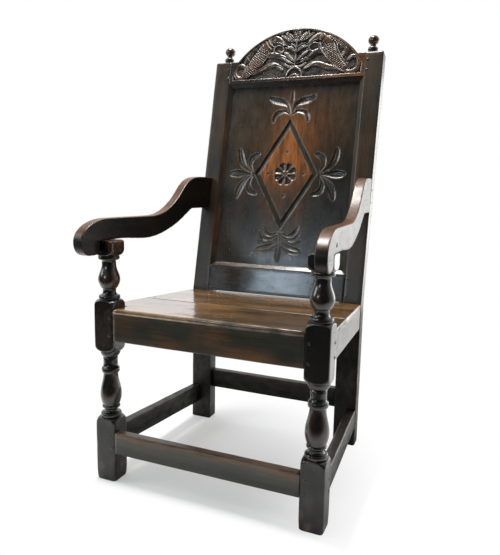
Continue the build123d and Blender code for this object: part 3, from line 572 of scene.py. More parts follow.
def shoulder(z, upwards):
    """The rounded end of a square block, out to its corners or in from them."""
    t = np.linspace(0, math.pi / 2, 10 if upwards else 15)
    if upwards:
        return list(zip(z + 24.0 * (1 - np.cos(t)), 25.0 + 14.2 * np.sin(t)))
    return list(zip(z + 24.0 * np.sin(t), 25.0 + 14.2 * np.cos(t)))


def round_member(z0, r0, radius, height, count=11):
    """A ring, bead or cove: a bow from r0 to radius and back over its height."""
    t = np.linspace(-1, 1, count)
    bow = (radius - r0) * (1 - t * t) ** (0.5 if radius > r0 else 0.6)
    return [(z0 + height * (1 + a) / 2, r0 + b) for a, b in zip(t, bow)]


def vase_member(z0, r0, top, neck, count=46):
    bulb = z0 + 0.33 * (top - z0)
    points = []
    for z in np.linspace(z0, top, count):
        if z < bulb:
            share = math.sin(math.pi / 2 * (z - z0) / (bulb - z0)) ** 0.95
            points.append((z, r0 + (VASE_RADIUS - r0) * share))
        else:
            share = 0.5 + 0.5 * math.cos(math.pi * (z - bulb) / (top - bulb))
            points.append((z, neck + (VASE_RADIUS - neck) * share))
    return points


def turning():
    """The post's profile as (height, radius), outside the corners of the square blocks."""
    t = np.linspace(0, math.pi / 2, 10)
    foot = (0.0, 0.7, 1.7, 3.0, 4.5, 6.0, 8.0, *np.linspace(12, 132, 16))
    points = [(z, RADIUS_OUTSIDE) for z in foot]
    points += shoulder(139.0, False)
    points += round_member(163.2, 23.3, 25.8, 10.8)
    points += round_member(174.2, 20.0, 16.0, 11.8)
    points += round_member(186.2, 19.9, 22.4, 5.8, 8)
    points += vase_member(192.3, 20.0, 276.0, 18.0)
    points += round_member(276.2, 19.9, 22.4, 13.6)
    points += [(290.2, 18.0), (300.0, 17.8), (309.0, 17.9), (316.8, 18.0)]
    points += list(zip(317.2 + 15.6 * (1 - np.cos(t)), 16.0 + 9.0 * np.sin(t)))
    points += shoulder(333.0, True)
    points += [(z, RADIUS_OUTSIDE) for z in np.linspace(364, 430, 9)]
    points += shoulder(436.0, False)
    points += round_member(460.2, 23.3, 25.8, 10.8)
    points += round_member(471.2, 20.0, 16.0, 18.6, 15)
    points += vase_member(490.0, 20.0, 546.0, 17.2, 40)
    points += [(551.0, 17.2), (556.8, 17.3)]
    points += round_member(557.2, 23.3, 25.8, 10.6)
    points += shoulder(568.0, True)
    points += [(594.0, 39.8), (596.0, 39.3), (598.0, 38.6), (600.0, 37.6)]
    points += [(601.5, 36.5), (603.0, 35.0), (604.0, 33.0)]
    return np.array(points).T


def front_post(side, word):
    z, radius = turning()
    u = np.linspace(-1, 1, 28, endpoint=False)
    quadrant = 45 + 45 * np.sign(u) * np.abs(u) ** 1.35
    theta = np.radians(np.concatenate([quadrant + 90 * k for k in range(4)]))
    cos, sin = np.cos(theta), np.sin(theta)
    at = stack(40 * cos, 40 * sin, z[:, None] + 900 * side)
    # the square block, as the power of a superellipse
    power = 15.0 + 7.0 * noise(at, (30, 30, 50), 61)
    power = power * (1 - 0.5 * smooth(34, 2, z))[:, None]
    foot = (5.0 - np.sqrt(25.0 - np.clip(5.0 - z, 0, 5) ** 2))[:, None]
    foot = foot * (0.75 + 0.25 * noise(at, 22, 64))
    sides = (np.abs(cos) / (BLOCK_X - foot)) ** power + (np.abs(sin) / (BLOCK_Y - foot)) ** power
    square = sides ** (-1 / power) - 0.45 * half_noise(at, (45, 45, 60), 62)
    # whichever is less of the block and the turning, with a soft edge between them
    turned = np.broadcast_to(radius[:, None], square.shape)
    soft = 1.4
    gap = np.log1p(np.exp(-soft * np.abs(square - turned))) / soft
    reach = np.minimum(square, turned) - gap * 0.8
    reach -= 0.22 * half_noise(at, (25, 25, 14), 63) * (turned < 30)
    drop = np.clip(z - 595.0, 0, 8.99)[:, None]
    bound = BLOCK_X - (9.0 - np.sqrt(81.0 - drop**2))
    x = np.maximum(reach * cos, -bound)
    build = Build()
    build.sweep(stack(side * (POST_X + x), POST_Y + reach * sin, z[:, None]))
    tenon = (270.9, 283.7, -18, 18)
    build.tenon(tenon, lambda top, a, b: stack(side * a, POST_Y + b, top), (600.0, 638.0))

    def fields(co):
        x, _, z = co.T
        block = smooth(-0.2, 0.7, noise(co, (40, 40, 60), 66))
        scuff = smooth(95, 20, z) * smooth(-0.1, 0.5, noise(co, (18, 18, 30), 69))
        vase = smooth(192, 215, z) * smooth(282, 262, z)
        vase += smooth(483, 500, z) * smooth(552, 535, z)
        glow = vase * smooth(-0.3, 0.5, noise(co, (18, 18, 60), 68))
        warm = 0.025 * block + 0.34 * glow + 0.5 * scuff
        wear = 0.5 * smooth(30, 4, z) * (0.4 + 0.5 * noise(co, 20, 67)).clip(0)
        if side < 0:
            inner = smooth(6, 20, x + POST_X) * smooth(572, 582, z)
            warm += 0.5 * inner * smooth(-0.5, 0.3, noise(co, (25, 18, 18), 70))
            wear += 0.24 * smooth(335, 350, z) * smooth(452, 436, z)
        dirt = 0.45 * smooth(165, 135, z) * (1 - 0.8 * scuff)
        return {"warm": warm, "wear": wear, "dirt": dirt}

    build.make("front_post_" + word, oak_z, fields, 2.8)


for side, word in SIDES:
    front_post(side, word)

# ---- finials


def finial(side, word):
    points = [(-12.0, 4.4), (-0.2, 4.4), (0.0, 12.2), (0.8, 12.9), (7.0, 13.0), (8.0, 12.6)]
    points += round_member(8.2, 12.6, 15.0, 10.6, 9)
    points += [(19.2, 9.2), (20.5, 8.5), (24.0, 8.4)]
    angles = np.linspace(math.pi - math.asin(8.5 / 16.3), 0.05, 22)
    points += [(41.5 + 13.8 * math.cos(a), 16.2 * math.sin(a)) for a in angles]
    up, radius = np.array(points).T[..., None]
    theta = np.linspace(0, 2 * math.pi, 40, endpoint=False)
    at = stack(30 * np.cos(theta), 30 * np.sin(theta), up + 300 * side)
    reach = radius * (1 - 0.018 * (1 + noise(at, 12, 71)))
    build = Build()
    x, depth = 228.0 + reach * np.cos(theta), REAR_DEPTH / 2 + reach * np.sin(theta)
    build.sweep(back(side * x, POST_TOP + up, depth))

    def fields(co):
        ball = smooth(745, 752, rise_of(co))
        return {"warm": 0.42 * ball, "wear": 0.3 * (1 - ball)}

    build.make("finial_" + word, oak_z, fields, 0.5)


for side, word in SIDES:
    finial(side, word)

# ---- arms


def arm(side, word):
    """The CAD node's shape with softened arrises and a worn, cracked surface."""
    name = "arm_" + word
    work = bpy.data.objects.new("arm_work", frame["nodes"][name].data.copy())
    bpy.context.scene.collection.objects.link(work)
    for kind, settings in (
        ("WELD", {"merge_threshold": 0.00002}),
        ("REMESH", {"mode": "VOXEL", "voxel_size": 0.0015}),
        ("SMOOTH", {"factor": 0.5, "iterations": 16}),
    ):
        modifier = work.modifiers.new(kind.lower(), kind)
        for key, value in settings.items():
            setattr(modifier, key, value)
    graph = bpy.context.evaluated_depsgraph_get()
    mesh = bpy.data.meshes.new_from_object(work.evaluated_get(graph))
    bpy.data.objects.remove(work)
    mesh.name = name
    co, normal = read(mesh.vertices, "co"), read(mesh.vertex_normals, "vector")
    co -= normal * (0.0005 * half_noise(co * 1000, (30, 60, 40), 81 + side))[:, None]
    mesh.vertices.foreach_set("co", co.ravel())
    mesh.materials.clear()
    mesh.update()

    def fields(co):
        to_side, to_rear, up = read(mesh.vertex_normals, "vector").T
        tilt = np.abs(to_side)
        top = smooth(0.25, 0.8, up) * smooth(250, 120, co[:, 1])
        rubbed = top * (0.55 + 0.45 * noise(co, (25, 70, 40), 83))
        rim = smooth(0.15, 0.45, tilt) * smooth(0.95, 0.7, tilt)
        cracks = smooth(0.30, 0.52, noise(co, (6, 46, 3.4), 85 + side)) * smooth(0.6, 0.9, tilt)
        pits = smooth(0.50, 0.66, noise(co, (5, 7, 4), 87 + side)) * smooth(0.6, 0.9, tilt)
        # dirt in cracks and pits; painted shade on the faces turned forward and on those turned
        # inwards
        dirt = 0.32 * np.clip(cracks + 0.8 * pits, 0, 1) + 0.4 * smooth(-0.6, -0.9, to_rear)
        dirt += 0.45 * smooth(-0.5, -0.9, side * to_side)
        return {"wear": 0.42 * rubbed, "warm": 0.5 * top + 0.75 * rim, "dirt": dirt}

    finish(name, mesh, oak_arm, fields, 1.7, 5)


for side, word in SIDES:
    arm(side, word)

# ---- seat boards


def slab(name, inner, start, end, notch, outer_from, seed, nosing=None):
    """A seat board: full width between setbacks, narrowed to inner where notch() says so."""
    rims = np.array([0.0, 0.7, 2.0, 4.0, 7.0])
    rows = {*(start + rims), *(end - rims), *(outer_from + np.array([-1.0, 0.0, 1.0]))}
    rows |= {*np.linspace(start + 12, end - 12, max(3, int((end - start - 24) / 6)))}
    rows = np.array([r for r in sorted(rows) if start <= r <= end])
    wing = np.array([0.1, 0.25, 0.42, 0.6, 0.76, 0.87, 0.94, 0.98, 1.0])
    params = np.concatenate([-1 - wing[::-1], np.linspace(-1, 1, 77), 1 + wing])
    S, T = np.meshgrid(params, rows)
    edge, beyond = rail_x(T), np.abs(S) - 1
    X = np.sign(S) * np.where(beyond > 0, inner + beyond * (edge - inner), np.abs(S) * inner)
    to_edge = np.where(notch(T), inner, edge) - np.abs(X)
    to_edge = np.maximum(np.minimum(np.minimum(T - start, end - T), to_edge), 0)
    at = stack(X, T, 0.0)
    radius = 2.2 * (1 + 0.5 * noise(at, 50, seed))
    if nosing:
        front = smooth(nosing + 1, nosing - 1, T - start)
        radius = radius * (1 - front) + nosing * front
    drop = radius - np.sqrt(np.maximum(radius**2 - np.clip(radius - to_edge, 0, None) ** 2, 0))
    sag = 1.1 * smooth(0, 1, 1 - (X / 250) ** 2)
    sag = sag * smooth(0, 60, T - start) * smooth(0, 40, end - T)
    wave = 0.35 * (1 + noise(at, (160, 40, 1), seed + 2))
    levels = (seat_z(T) - drop - wave - sag, seat_z(T) - 12.0)
    points = np.concatenate([across(X, T, z).reshape(-1, 3) for z in levels])
    n = X.size
    index = np.arange(n).reshape(X.shape)
    notched = notch((rows[:-1] + rows[1:]) / 2)[:, None]
    keep = ~(notched & (np.abs(params[:-1] + params[1:]) / 2 > 1))
    around = np.pad(keep, 1)
    faces = []
    for i, j in np.argwhere(keep):
        quad = [index[i, j], index[i, j + 1], index[i + 1, j + 1], index[i + 1, j]]
        faces += [quad, [q + n for q in reversed(quad)]]
        for k, (di, dj) in enumerate(((0, 1), (1, 2), (2, 1), (1, 0))):
            if not around[i + di, j + dj]:
                p, q = quad[k], quad[(k + 1) % 4]
                faces.append([q, p, p + n, q + n])
    used, order = np.unique(faces, return_inverse=True)
    build = Build()
    build.add(points[used], order.reshape(-1, 4))

    def fields(co):
        x, y, _ = co.T
        rub = smooth(-0.3, 0.6, noise(co, (120, 60, 30), seed + 7))
        grime_and_shade = 0.45 * smooth(0.1, 0.7, noise(co, (70, 22, 30), seed + 9))
        # painted shade: darker to the right by the post, towards the back rail and in the rear
        # right corner
        grime_and_shade += 0.55 * smooth(120, 215, x) + 0.4 * smooth(100, 165, y)
        grime_and_shade += 0.5 * smooth(60, 190, x) * smooth(40, 150, y)
        # darker along the right half of the front edge
        grime_and_shade += 0.35 * smooth(-60, 60, x) * smooth(-262, -280, y)
        seam = y - (FRONT_Y + (end if nosing else start))
        if nosing:
            # painted reflection of the dark room: the front board darker towards the right
            grime_and_shade += 0.85 * smooth(-70, 90, x + 0.5 * (y + 190))
            # painted highlight along the nosing
            warm, painted_highlight = 0.6, 0.42 * smooth(30, 4, y - (FRONT_Y + start))
        else:
            grime_and_shade *= 0.6
            # painted highlight on the seam's lip, on the right
            warm, painted_highlight = 0.85, 0.6 * bell((seam - 4.5) / 1.6) * smooth(-200, -90, x)
        grime_and_shade += 0.8 * bell(seam / 2.4)
        return {"warm": warm * rub, "wear": 0.14 * rub + painted_highlight, "dirt": grime_and_shade.clip(0, 0.88)}

    build.make(name, oak_seat, fields, 1.5)


slab("seat_board_front", 236.2, 0.0, 208.1, lambda t: t < 54.3, 54.3, 91, 5.0)
slab("seat_board_rear", 200.2, 208.9, 484.5, lambda t: t > 460.2, 460.2, 95)

# ---- carving


def bent(points):
    """A smooth line through points (Catmull-Rom)."""
    p = np.vstack([2 * points[0] - points[1], points, 2 * points[-1] - points[-2]])
    steps = np.linspace(0, 1, 24 // (len(p) - 3) + 1, endpoint=False)
    out = []
    for i in range(1, len(p) - 2):
        a, b, c, d = p[i - 1 : i + 3]
        for t in steps:
            curve = (2 * a - 5 * b + 4 * c - d) * t * t + (3 * b - a - 3 * c + d) * t**3
            out.append(0.5 * (2 * b + (c - a) * t + curve))
    return np.array([*out, p[-2]])


def leaf_width(t, full, stem, tip, peak):
    """Width of a leaf along its length: from a stem through full to a tip."""
    rise = stem + (1 - stem) * smooth(0, peak, t)
    fall = tip + (1 - tip) * np.sqrt(np.clip(1 - ((t - peak) / (1 - peak)) ** 2, 0, 1))
    return full * np.where(t < peak, rise, fall)


class Carving:
    """Strokes on a grid of U and V. A path is a row of coordinates, mirrored by side."""

    def __init__(self, U, V):
        self.U, self.V, self.field, self.side = U, V, np.zeros_like(U), 1

    def line(self, path):
        return bent(np.reshape(path, (-1, 2)) * (self.side, 1.0))

    def along(self, path, reach):
        """Distance to a path, place along it (0 to 1) and side of it, near the path."""
        path = self.line(path)
        low, high = path.min(0) - reach, path.max(0) + reach
        near = (self.U > low[0]) & (self.U < high[0]) & (self.V > low[1]) & (self.V < high[1])
        u, v = self.U[near], self.V[near]
        best, place, hand = np.full(u.shape, 1e9), np.zeros(u.shape), np.zeros(u.shape)
        lengths = np.linalg.norm(np.diff(path, axis=0), axis=1)
        run = np.concatenate([[0], np.cumsum(lengths)])
        for i, (a, step) in enumerate(zip(path, np.diff(path, axis=0))):
            size = max(float(step @ step), 1e-9)
            t = np.clip(((u - a[0]) * step[0] + (v - a[1]) * step[1]) / size, 0, 1)
            du, dv = u - a[0] - t * step[0], v - a[1] - t * step[1]
            d = np.hypot(du, dv)
            closer = d < best
            best = np.where(closer, d, best)
            place = np.where(closer, (run[i] + t * lengths[i]) / run[-1], place)
            hand = np.where(closer, np.sign(step[0] * dv - step[1] * du), hand)
        return near, best, place, hand

    def raise_to(self, near, values):
        """Lifts the field to values wherever it is lower, in the places near."""
        self.field[near] = np.maximum(self.field[near], values)

    def scoop(self, path, width, depth, stem, peak, section=1.25, rib=0.0):
        """A leaf-shaped hollow: section 1 is a V and more is flatter, with a rib left."""
        near, d, t, _ = self.along(path, width)
        half = np.maximum(leaf_width(t, width, stem, 0.08, peak) / 2, 0.01)
        cut = depth * (half / half.max()) ** 0.7 * np.clip(1 - (d / half) ** section, 0, 1)
        self.raise_to(near, cut * (1 - rib * bell(d / 1.3) * smooth(0.05, 0.3, t)))

    def incise(self, path, width, depth):
        """A thin cut."""
        near, d, _, _ = self.along(path, width)
        self.raise_to(near, depth * np.clip(1 - d / (width / 2), 0, 1))

    def mound(self, path, width, height, stem, tip, peak=0.6, edge=0.3):
        """A rounded form left standing."""
        near, d, t, _ = self.along(path, width)
        half = np.maximum(leaf_width(t, width, stem, tip, peak) / 2, 0.01)
        self.raise_to(near, height * np.clip(1 - (d / half) ** 2, 0, 1) ** edge)

    def groove(self, path, width, depth):
        """A line cut into what stands."""
        near, d, _, _ = self.along(path, width)
        self.field[near] -= depth * np.clip(1 - (d / (width / 2)) ** 2, 0, 1)

    def scales(self, path, width, depth):
        """Rows of small nicks across a body, inside its double outline."""
        near, d, t, hand = self.along(path, width)
        length = np.linalg.norm(np.diff(self.line(path), axis=0), axis=1).sum()
        half = leaf_width(t, width, 0.8, 0.6, 0.4) / 2
        run = t * length / 6.4
        row = np.floor(run)
        over = d * hand / 6.2 + 0.5 * (row % 2)
        cell = np.hypot((run - row - 0.5) * 1.1, (over - np.floor(over) - 0.5) * 1.25)
        nick = depth * np.clip(1 - cell / 0.44, 0, 1) ** 0.7 * (d < half - 4.6)
        outline = 1.5 * np.clip(1 - np.abs(d - (half - 4.0)) / 1.3, 0, 1)
        ends = smooth(0.03, 0.10, t) * smooth(0.99, 0.93, t)
        self.field[near] -= np.maximum(nick, outline) * ends


def blurred(values):
    """The mean of a grid's values over a few steps."""
    out = values.copy()
    for _ in range(5):
        out[1:-1] = 0.25 * (out[:-2] + 2 * out[1:-1] + out[2:])
        out[:, 1:-1] = 0.25 * (out[:, :-2] + 2 * out[:, 1:-1] + out[:, 2:])
    return out


def board(name, material, U, R, depth, skirt, fields, extra=None):
    """A carved face over a grid, closed at its edges and back by the rings of skirt()."""
    index = np.arange(U.size).reshape(U.shape)
    quads = np.stack([index[:-1, :-1], index[:-1, 1:], index[1:, 1:], index[1:, :-1]], -1)
    faces = quads.reshape(-1, 4).tolist()
    points = [back(U, R, depth).reshape(-1, 3)]
    rim = np.concatenate([index[0, :], index[1:, -1], index[-1, -2::-1], index[-2:0:-1, 0]])
    last, count = rim, U.size
    for ring in skirt(U.ravel()[rim], R.ravel()[rim], depth.ravel()[rim]):
        points.append(ring)
        fresh = np.arange(count, count + len(rim))
        faces += np.stack([last, fresh, np.roll(fresh, -1), np.roll(last, -1)], -1).tolist()
        last = fresh
        count += len(rim)
    build = Build()
    build.add(np.concatenate(points), [*faces, last.tolist()])
    if extra:
        extra(build)
    build.make(name, material, fields, 1.6)


# ---- panel

LOZENGE_RISE, LOZENGE_HALF = 369.0, (100.5, 172.5)
# path, width, depth, stem and peak of each leaf of half the sprays
LEAVES = (
    ((10, -181, 28, -187, 44, -180, 58, -158), 12, 3.4, 0.4, 0.5),
    ((9, -189, 30, -200, 50, -197, 64, -176), 11, 3.2, 0.4, 0.5),
    ((8, -199, 30, -211, 52, -213, 69, -202), 8, 2.4, 0.4, 0.5),
    ((9, -208, 28, -219, 48, -226, 70, -230), 13, 3.6, 0.35, 0.5),
    ((8, -222, 28, -234, 50, -239, 77, -236), 10, 3.2, 0.35, 0.5),
    ((112, 0, 130, 0, 154, 0, 184, 0), 25, 3.8, 0.3, 0.62),
    ((112, 6, 134, 22, 148, 46, 155, 80), 23, 3.2, 0.25, 0.58),
    ((107, 9, 116, 30, 109, 50, 86, 64), 19, 3.4, 0.3, 0.6),
    ((112, -6, 132, -26, 146, -48, 154, -79), 23, 3.2, 0.25, 0.58),
    ((107, -9, 117, -33, 109, -54, 86, -63), 19, 3.4, 0.3, 0.6),
)
VEINS = (
    (10, 204, 22, 219, 44, 229, 74, 243),
    (112, 1.5, 128, 3, 140, 7, 160, 12),
    (112, -1.5, 128, -3, 140, -7, 160, -12),
    (5, 178, 4, 190, 5, 214),
    (3, -176, 7, -192, 12, -214, 13, -238, 3, -262),
)
SCRATCHES = (
    (150, 195, 158, 178, 160, 160),
    (-60, 92, -30, 96, -8, 91),
    (-196, 236, -188, 226),
    (-110, 178, -92, 174),
)


def sampled(u, v, grid, x, y):
    """Values between the points of a regular grid."""
    i = np.clip((x - u[0]) / (u[-1] - u[0]) * (len(u) - 1), 0, len(u) - 1.001)
    j = np.clip((y - v[0]) / (v[-1] - v[0]) * (len(v) - 1), 0, len(v) - 1.001)
    a, b = i.astype(int), j.astype(int)
    s, t = i - a, j - b
    low = grid[b, a] * (1 - s) + grid[b, a + 1] * s
    return low * (1 - t) + (grid[b + 1, a] * (1 - s) + grid[b + 1, a + 1] * s) * t


def panel():
    """The back panel, with a lozenge, a rosette, stars and sprays cut into it."""
    u, r = np.linspace(-207.5, 207.5, 256), np.linspace(83.6, 649.4, 348)
    U, R = np.meshgrid(u, r)
    V = R - LOZENGE_RISE
    at = stack(U, V, 0.0)
    carving, scratches = Carving(U, V), Carving(U, V)
    # the lozenge's channel
    half_wide, half_high = LOZENGE_HALF
    slope = math.hypot(1 / half_wide, 1 / half_high)
    shape = np.abs(U) / half_wide + np.abs(V) / half_high + 0.004 * noise(at, 24, 101)
    inner_share = 0.815
    outer, inner = (1 - shape) / slope, (shape - inner_share) / slope
    band = np.minimum(outer, inner)
    middle = np.clip(outer / ((1 - inner_share) / slope), 0, 1) * 2 - 1
    carving.raise_to(..., 3.6 * (1 - np.abs(middle) ** 1.9))
    # a rosette of eight petals
    rho, phi = np.hypot(U, V), np.degrees(np.arctan2(V, U))
    sector = ((phi % 45.0) - 22.5) / 22.5
    radial = smooth(4.0, 15.0, rho) * np.clip((35.5 - 5.0 * sector**2 - rho) / 2.2, 0, 1)
    petal = 5.0 * (1 - np.abs(sector) ** 2.0) * radial
    boss = 2.2 * smooth(7.0, 5.4, rho) * smooth(0.5, 3.0, rho)
    carving.raise_to(..., np.maximum(petal, boss))
    # small four-pointed stars
    for su, sv in ((0, 67.5), (0, -67.5), (55.5, 0), (-55.5, 0)):
        du, dv = U - su, V - sv
        star = np.sqrt(np.abs(du) / 15.0) + np.sqrt(np.abs(dv) / 15.0)
        star = 3.2 * np.clip(1 - star, 0, 1)
        dot = 0.9 * np.clip(1 - np.hypot(du, dv) / 1.6, 0, 1)
        carving.raise_to(..., np.maximum(star, dot))
    # sprays
    for carving.side, reach in ((-1, 77.0), (1, 77 * 0.97)):
        carving.scoop((4, 190, 13, 212, 34, 224, 57, 230, reach, 240), 25, 4.0, 0.3, 0.6)
        carving.scoop((5, 184, 22, 193, 42, 189, 52, 177, 56, 158), 17, 3.4, 0.35, 0.55)
        for path, wide, deep, stem, peak in LEAVES:
            carving.scoop(path, wide, deep * 0.85, stem, peak, 2.6, 0.45)
        for path in VEINS:
            carving.incise(path, 2.2, 0.7)
    carving.scoop((0, 206, 0, 222, 0, 240, 0, 258), 15, 1.9, 0.2, 0.45)
    carving.scoop((0, -196, 0, -222, 0, -246, 0, -268), 25, 1.3, 0.15, 0.5)
    cut = carving.field
    # plane marks, riven waves and old scratches
    for path in SCRATCHES:
        scratches.incise(path, 2.4, 0.5)
    wave = 0.55 * half_noise(at, (60, 240, 1), 102) + 0.10 * half_noise(at, (6, 60, 1), 103)
    depth = 12.0 + np.maximum(cut, scratches.field) + wave
    # wear, dirt and warmth, with painted shadow under the crest rail and painted shade at the
    # panel's edges and on the channel's outer wall
    warm = smooth(1.0, 0.9, shape) * smooth(-85, 45, V)
    warm *= 1 - 0.35 * smooth(5, 50, U) * smooth(60, -10, V)
    warm = np.maximum(0.9 * bell((U - 6) / 62, (V - 120) / 70), 1.1 * warm)
    warm += 0.22 * bell((U - 120) / 50, (V - 150) / 110)
    warm += 0.10 * bell((U + 120) / 50, (V - 60) / 110)
    warm += 0.16 * smooth(-230, -120, V) * smooth(100, 50, np.abs(U))
    warm *= 0.70 + 0.6 * noise(at, (20, 80, 1), 104)
    warm *= 1 - 0.9 * smooth(0.0, 1.5, cut)
    cavity = cut - blurred(cut)
    # dirt in the lozenge's channel, with painted shade making its outer wall darker
    channel = smooth(0.0, 1.6, band) * (0.30 + 0.5 * (outer < inner))
    # painted shadow across the panel's top, under the crest rail
    dirt = 0.35 * smooth(225, 262, V) + np.clip(0.2 * cavity + channel, 0, 0.8)
    # painted shade along the panel's sides, top and bottom, where it meets the frame
    dirt += 0.4 * (smooth(176, 202, np.abs(U)) + smooth(236, 276, V) + smooth(-250, -276, V))
    arris = np.clip(bell((band + 0.3) / 0.9) * half_noise(at, 14, 105), 0, 1)
    steep = np.abs(np.gradient(cut, axis=0)) + np.abs(np.gradient(cut, axis=1))
    wear = np.clip(-(0.4 + 0.5 * smooth(150, 175, V)) * cavity, 0, 0.8)
    wear += 0.6 * smooth(0.9, 0.1, cut) * smooth(0.12, 0.4, steep)
    wear += 0.08 * smooth(20, 190, V) + 0.6 * arris
    layers = {"warm": warm, "dirt": dirt, "wear": wear}

    def skirt(x, rise, _):
        yield back(x, rise, 17.0)
        yield back(x * 0.93, LOZENGE_RISE + (rise - LOZENGE_RISE) * 0.95, 23.5)

    def fields(co):
        front = (co[:, 1] - REAR_Y) * COS - (co[:, 2] - KICK_Z) * SIN < 18.4
        rise = rise_of(co)
        return {key: sampled(u, r, grid, co[:, 0], rise) * front for key, grid in layers.items()}

    board("back_panel", oak_panel, U, R, depth, skirt, fields)


panel()

# ---- crest rail

BACK_LINE = (98, 779, 110, 768, 118, 755, 121, 742, 127, 729, 136, 714, 146, 700, 160, 686)
BELLY = (76, 760, 78, 746, 86, 732, 97, 718, 110, 704, 124, 690, 138, 679, 153, 671)
SHOULDER = (104, 782, 117, 771, 125, 757, 128, 743, 134, 731, 143, 716, 153, 703)
CHEEK = (93, 781, 87, 770, 77, 762)
CHEEKS = ((98, 779, 90, 766, 80, 757), (91, 786, 83, 773, 74, 765))
ROOT = (24, 664, 23, 676, 14, 689, 2, 697)
# wing, tail, foreleg, hind leg, body, head and ear of each beast
BEASTS = {
    1: (
        (104, 777, 127, 767, 147, 751, 155, 736, 146, 724),
        (148, 676, 168, 670, 186, 676, 194, 694, 189, 714, 175, 717, 163, 708),
        (98, 741, 76, 742, 60, 738, 48, 729, 34, 720, 20, 717),
        (142, 683, 118, 687, 98, 692, 76, 700, 58, 702, 44, 697, 30, 689),
        (97, 770, 103, 744, 122, 713, 150, 682),
        (92, 772, 80, 783, 66, 785, 52, 778, 40, 769),
        (82, 786, 73, 797),
    ),
    -1: (
        (112, 781, 134, 765, 152, 745, 164, 722),
        (158, 680, 172, 670, 188, 674, 196, 690, 190, 707, 175, 713, 163, 705),
        (100, 738, 76, 739, 52, 733, 33, 726),
        (150, 682, 124, 688, 100, 698, 80, 706, 65, 707, 52, 700, 38, 690),
        (98, 768, 110, 742, 132, 713, 162, 681),
        (94, 770, 84, 784, 70, 788, 54, 779, 40, 766),
        (80, 790, 75, 801),
    ),
}
STROKES = (
    (88, 786, 81, 774, 71, 767),
    (64, 779, 50, 775, 40, 768),
    (114, 772, 134, 758, 146, 742, 146, 730),
    (122, 774, 142, 760, 153, 745),
    (172, 676, 186, 686, 186, 704, 176, 711),
    (46, 731, 30, 724),
    (40, 722, 24, 720),
    (62, 700, 46, 692),
    (52, 702, 38, 694),
)
# path and width of the stem's leaves and of the flower's
STEM_LEAVES = (
    ((2, 700, 13, 697, 24, 700, 35, 707), 8),
    ((2, 705, 13, 709, 25, 715, 36, 724), 9),
    ((2, 713, 13, 722, 24, 732, 36, 743), 13),
    ((2, 738, 9, 750, 19, 757, 32, 758), 11),
    ((2, 757, 11, 765, 25, 768), 8),
)
PETALS = (
    ((13, 777, 27, 782, 38, 791, 51, 798), 10),
    ((3, 777, 14, 784, 25, 795, 37, 804), 15),
    ((1, 780, 6, 792, 9, 803, 14, 810), 10),
)
# paths of painted highlights along the carving's outlines
HIGHLIGHT_PATHS = {
    1: (
        BACK_LINE, BELLY, SHOULDER[:6], CHEEK, ROOT,
        (58, 788, 49, 781, 40, 772), (73, 797, 77, 789), (52, 735, 44, 729, 38, 725),
        (57, 704, 46, 699, 34, 691), (184, 722, 192, 713, 197, 704),
        (12, 780, 19, 788, 27, 797), (8, 722, 20, 733, 33, 742),
    ),
    -1: (
        *CHEEKS, ROOT, (160, 738, 154, 731, 150, 724), (176, 713, 168, 714, 160, 708),
        (110, 690, 98, 697, 84, 705, 68, 709), (193, 690, 188, 680, 178, 677),
        (56, 751, 48, 747, 40, 750), (46, 777, 40, 768), (36, 742, 22, 732, 10, 723),
    ),
}


def beast(carving, side):
    """One of the two beasts that face the plant."""
    carving.side, mound, groove = side, carving.mound, carving.groove
    wing, tail, fore, hind, body, head, ear = BEASTS[side]
    width, leg_tip = (41, 0.25) if side > 0 else (44, 0.35)
    mound(wing, 20, 3.9, 0.5, 0.5)
    mound(tail, 14, 4.3, 0.9, 0.6, 0.3)
    mound(fore, 17, 4.6, 0.9, 0.5, 0.3)
    mound(hind, 16, 4.6, 0.7, leg_tip, 0.45)
    mound(body, width, 4.5, 0.85, 0.5, 0.3, 0.22)
    mound(head, 25, 4.9, 0.85, 0.4, 0.35)
    mound(ear, 9, 4.8, 0.9, 0.2, 0.3)
    # the paw, curled into a ring
    mound((44, 752, 68, 753), 27, 2.2, 0.9, 0.9, 0.5, 0.2)
    turns = np.linspace(0.2, 6.4, 14)
    mound(np.stack([56 + 16 * np.cos(turns), 753 + 13.5 * np.sin(turns)], -1), 6.0, 4.4, 1.0, 0.9)
    carving.scales(body, width, 2.2)
    if side > 0:
        lines = (BACK_LINE, BELLY, SHOULDER)
    else:
        belly = (80, 758, 86, 742, 97, 726, 108, 710, 122, 695, 138, 682, 156, 672)
        lines = (belly, *CHEEKS)
    for path in lines:
        mound(path, 2.8, 5.2, 1.0, 0.7, edge=0.5)
    if side > 0:
        mound(CHEEK, 3.0, 5.2, 1.0, 0.9, edge=0.5)
    for path in STROKES:
        groove(path, 2.8, 2.0)
    eye = np.hypot(carving.U - side * 73, carving.V - 784)
    carving.field -= 1.8 * np.clip(1 - np.abs(eye - 3.2) / 1.3, 0, 1)
    for i in range(11):
        x, y = 112 + 5.2 * i, 779 - 5.0 * i - 0.22 * i * i
        groove((x, y, x - 5, y - 8), 2.8, 2.0)


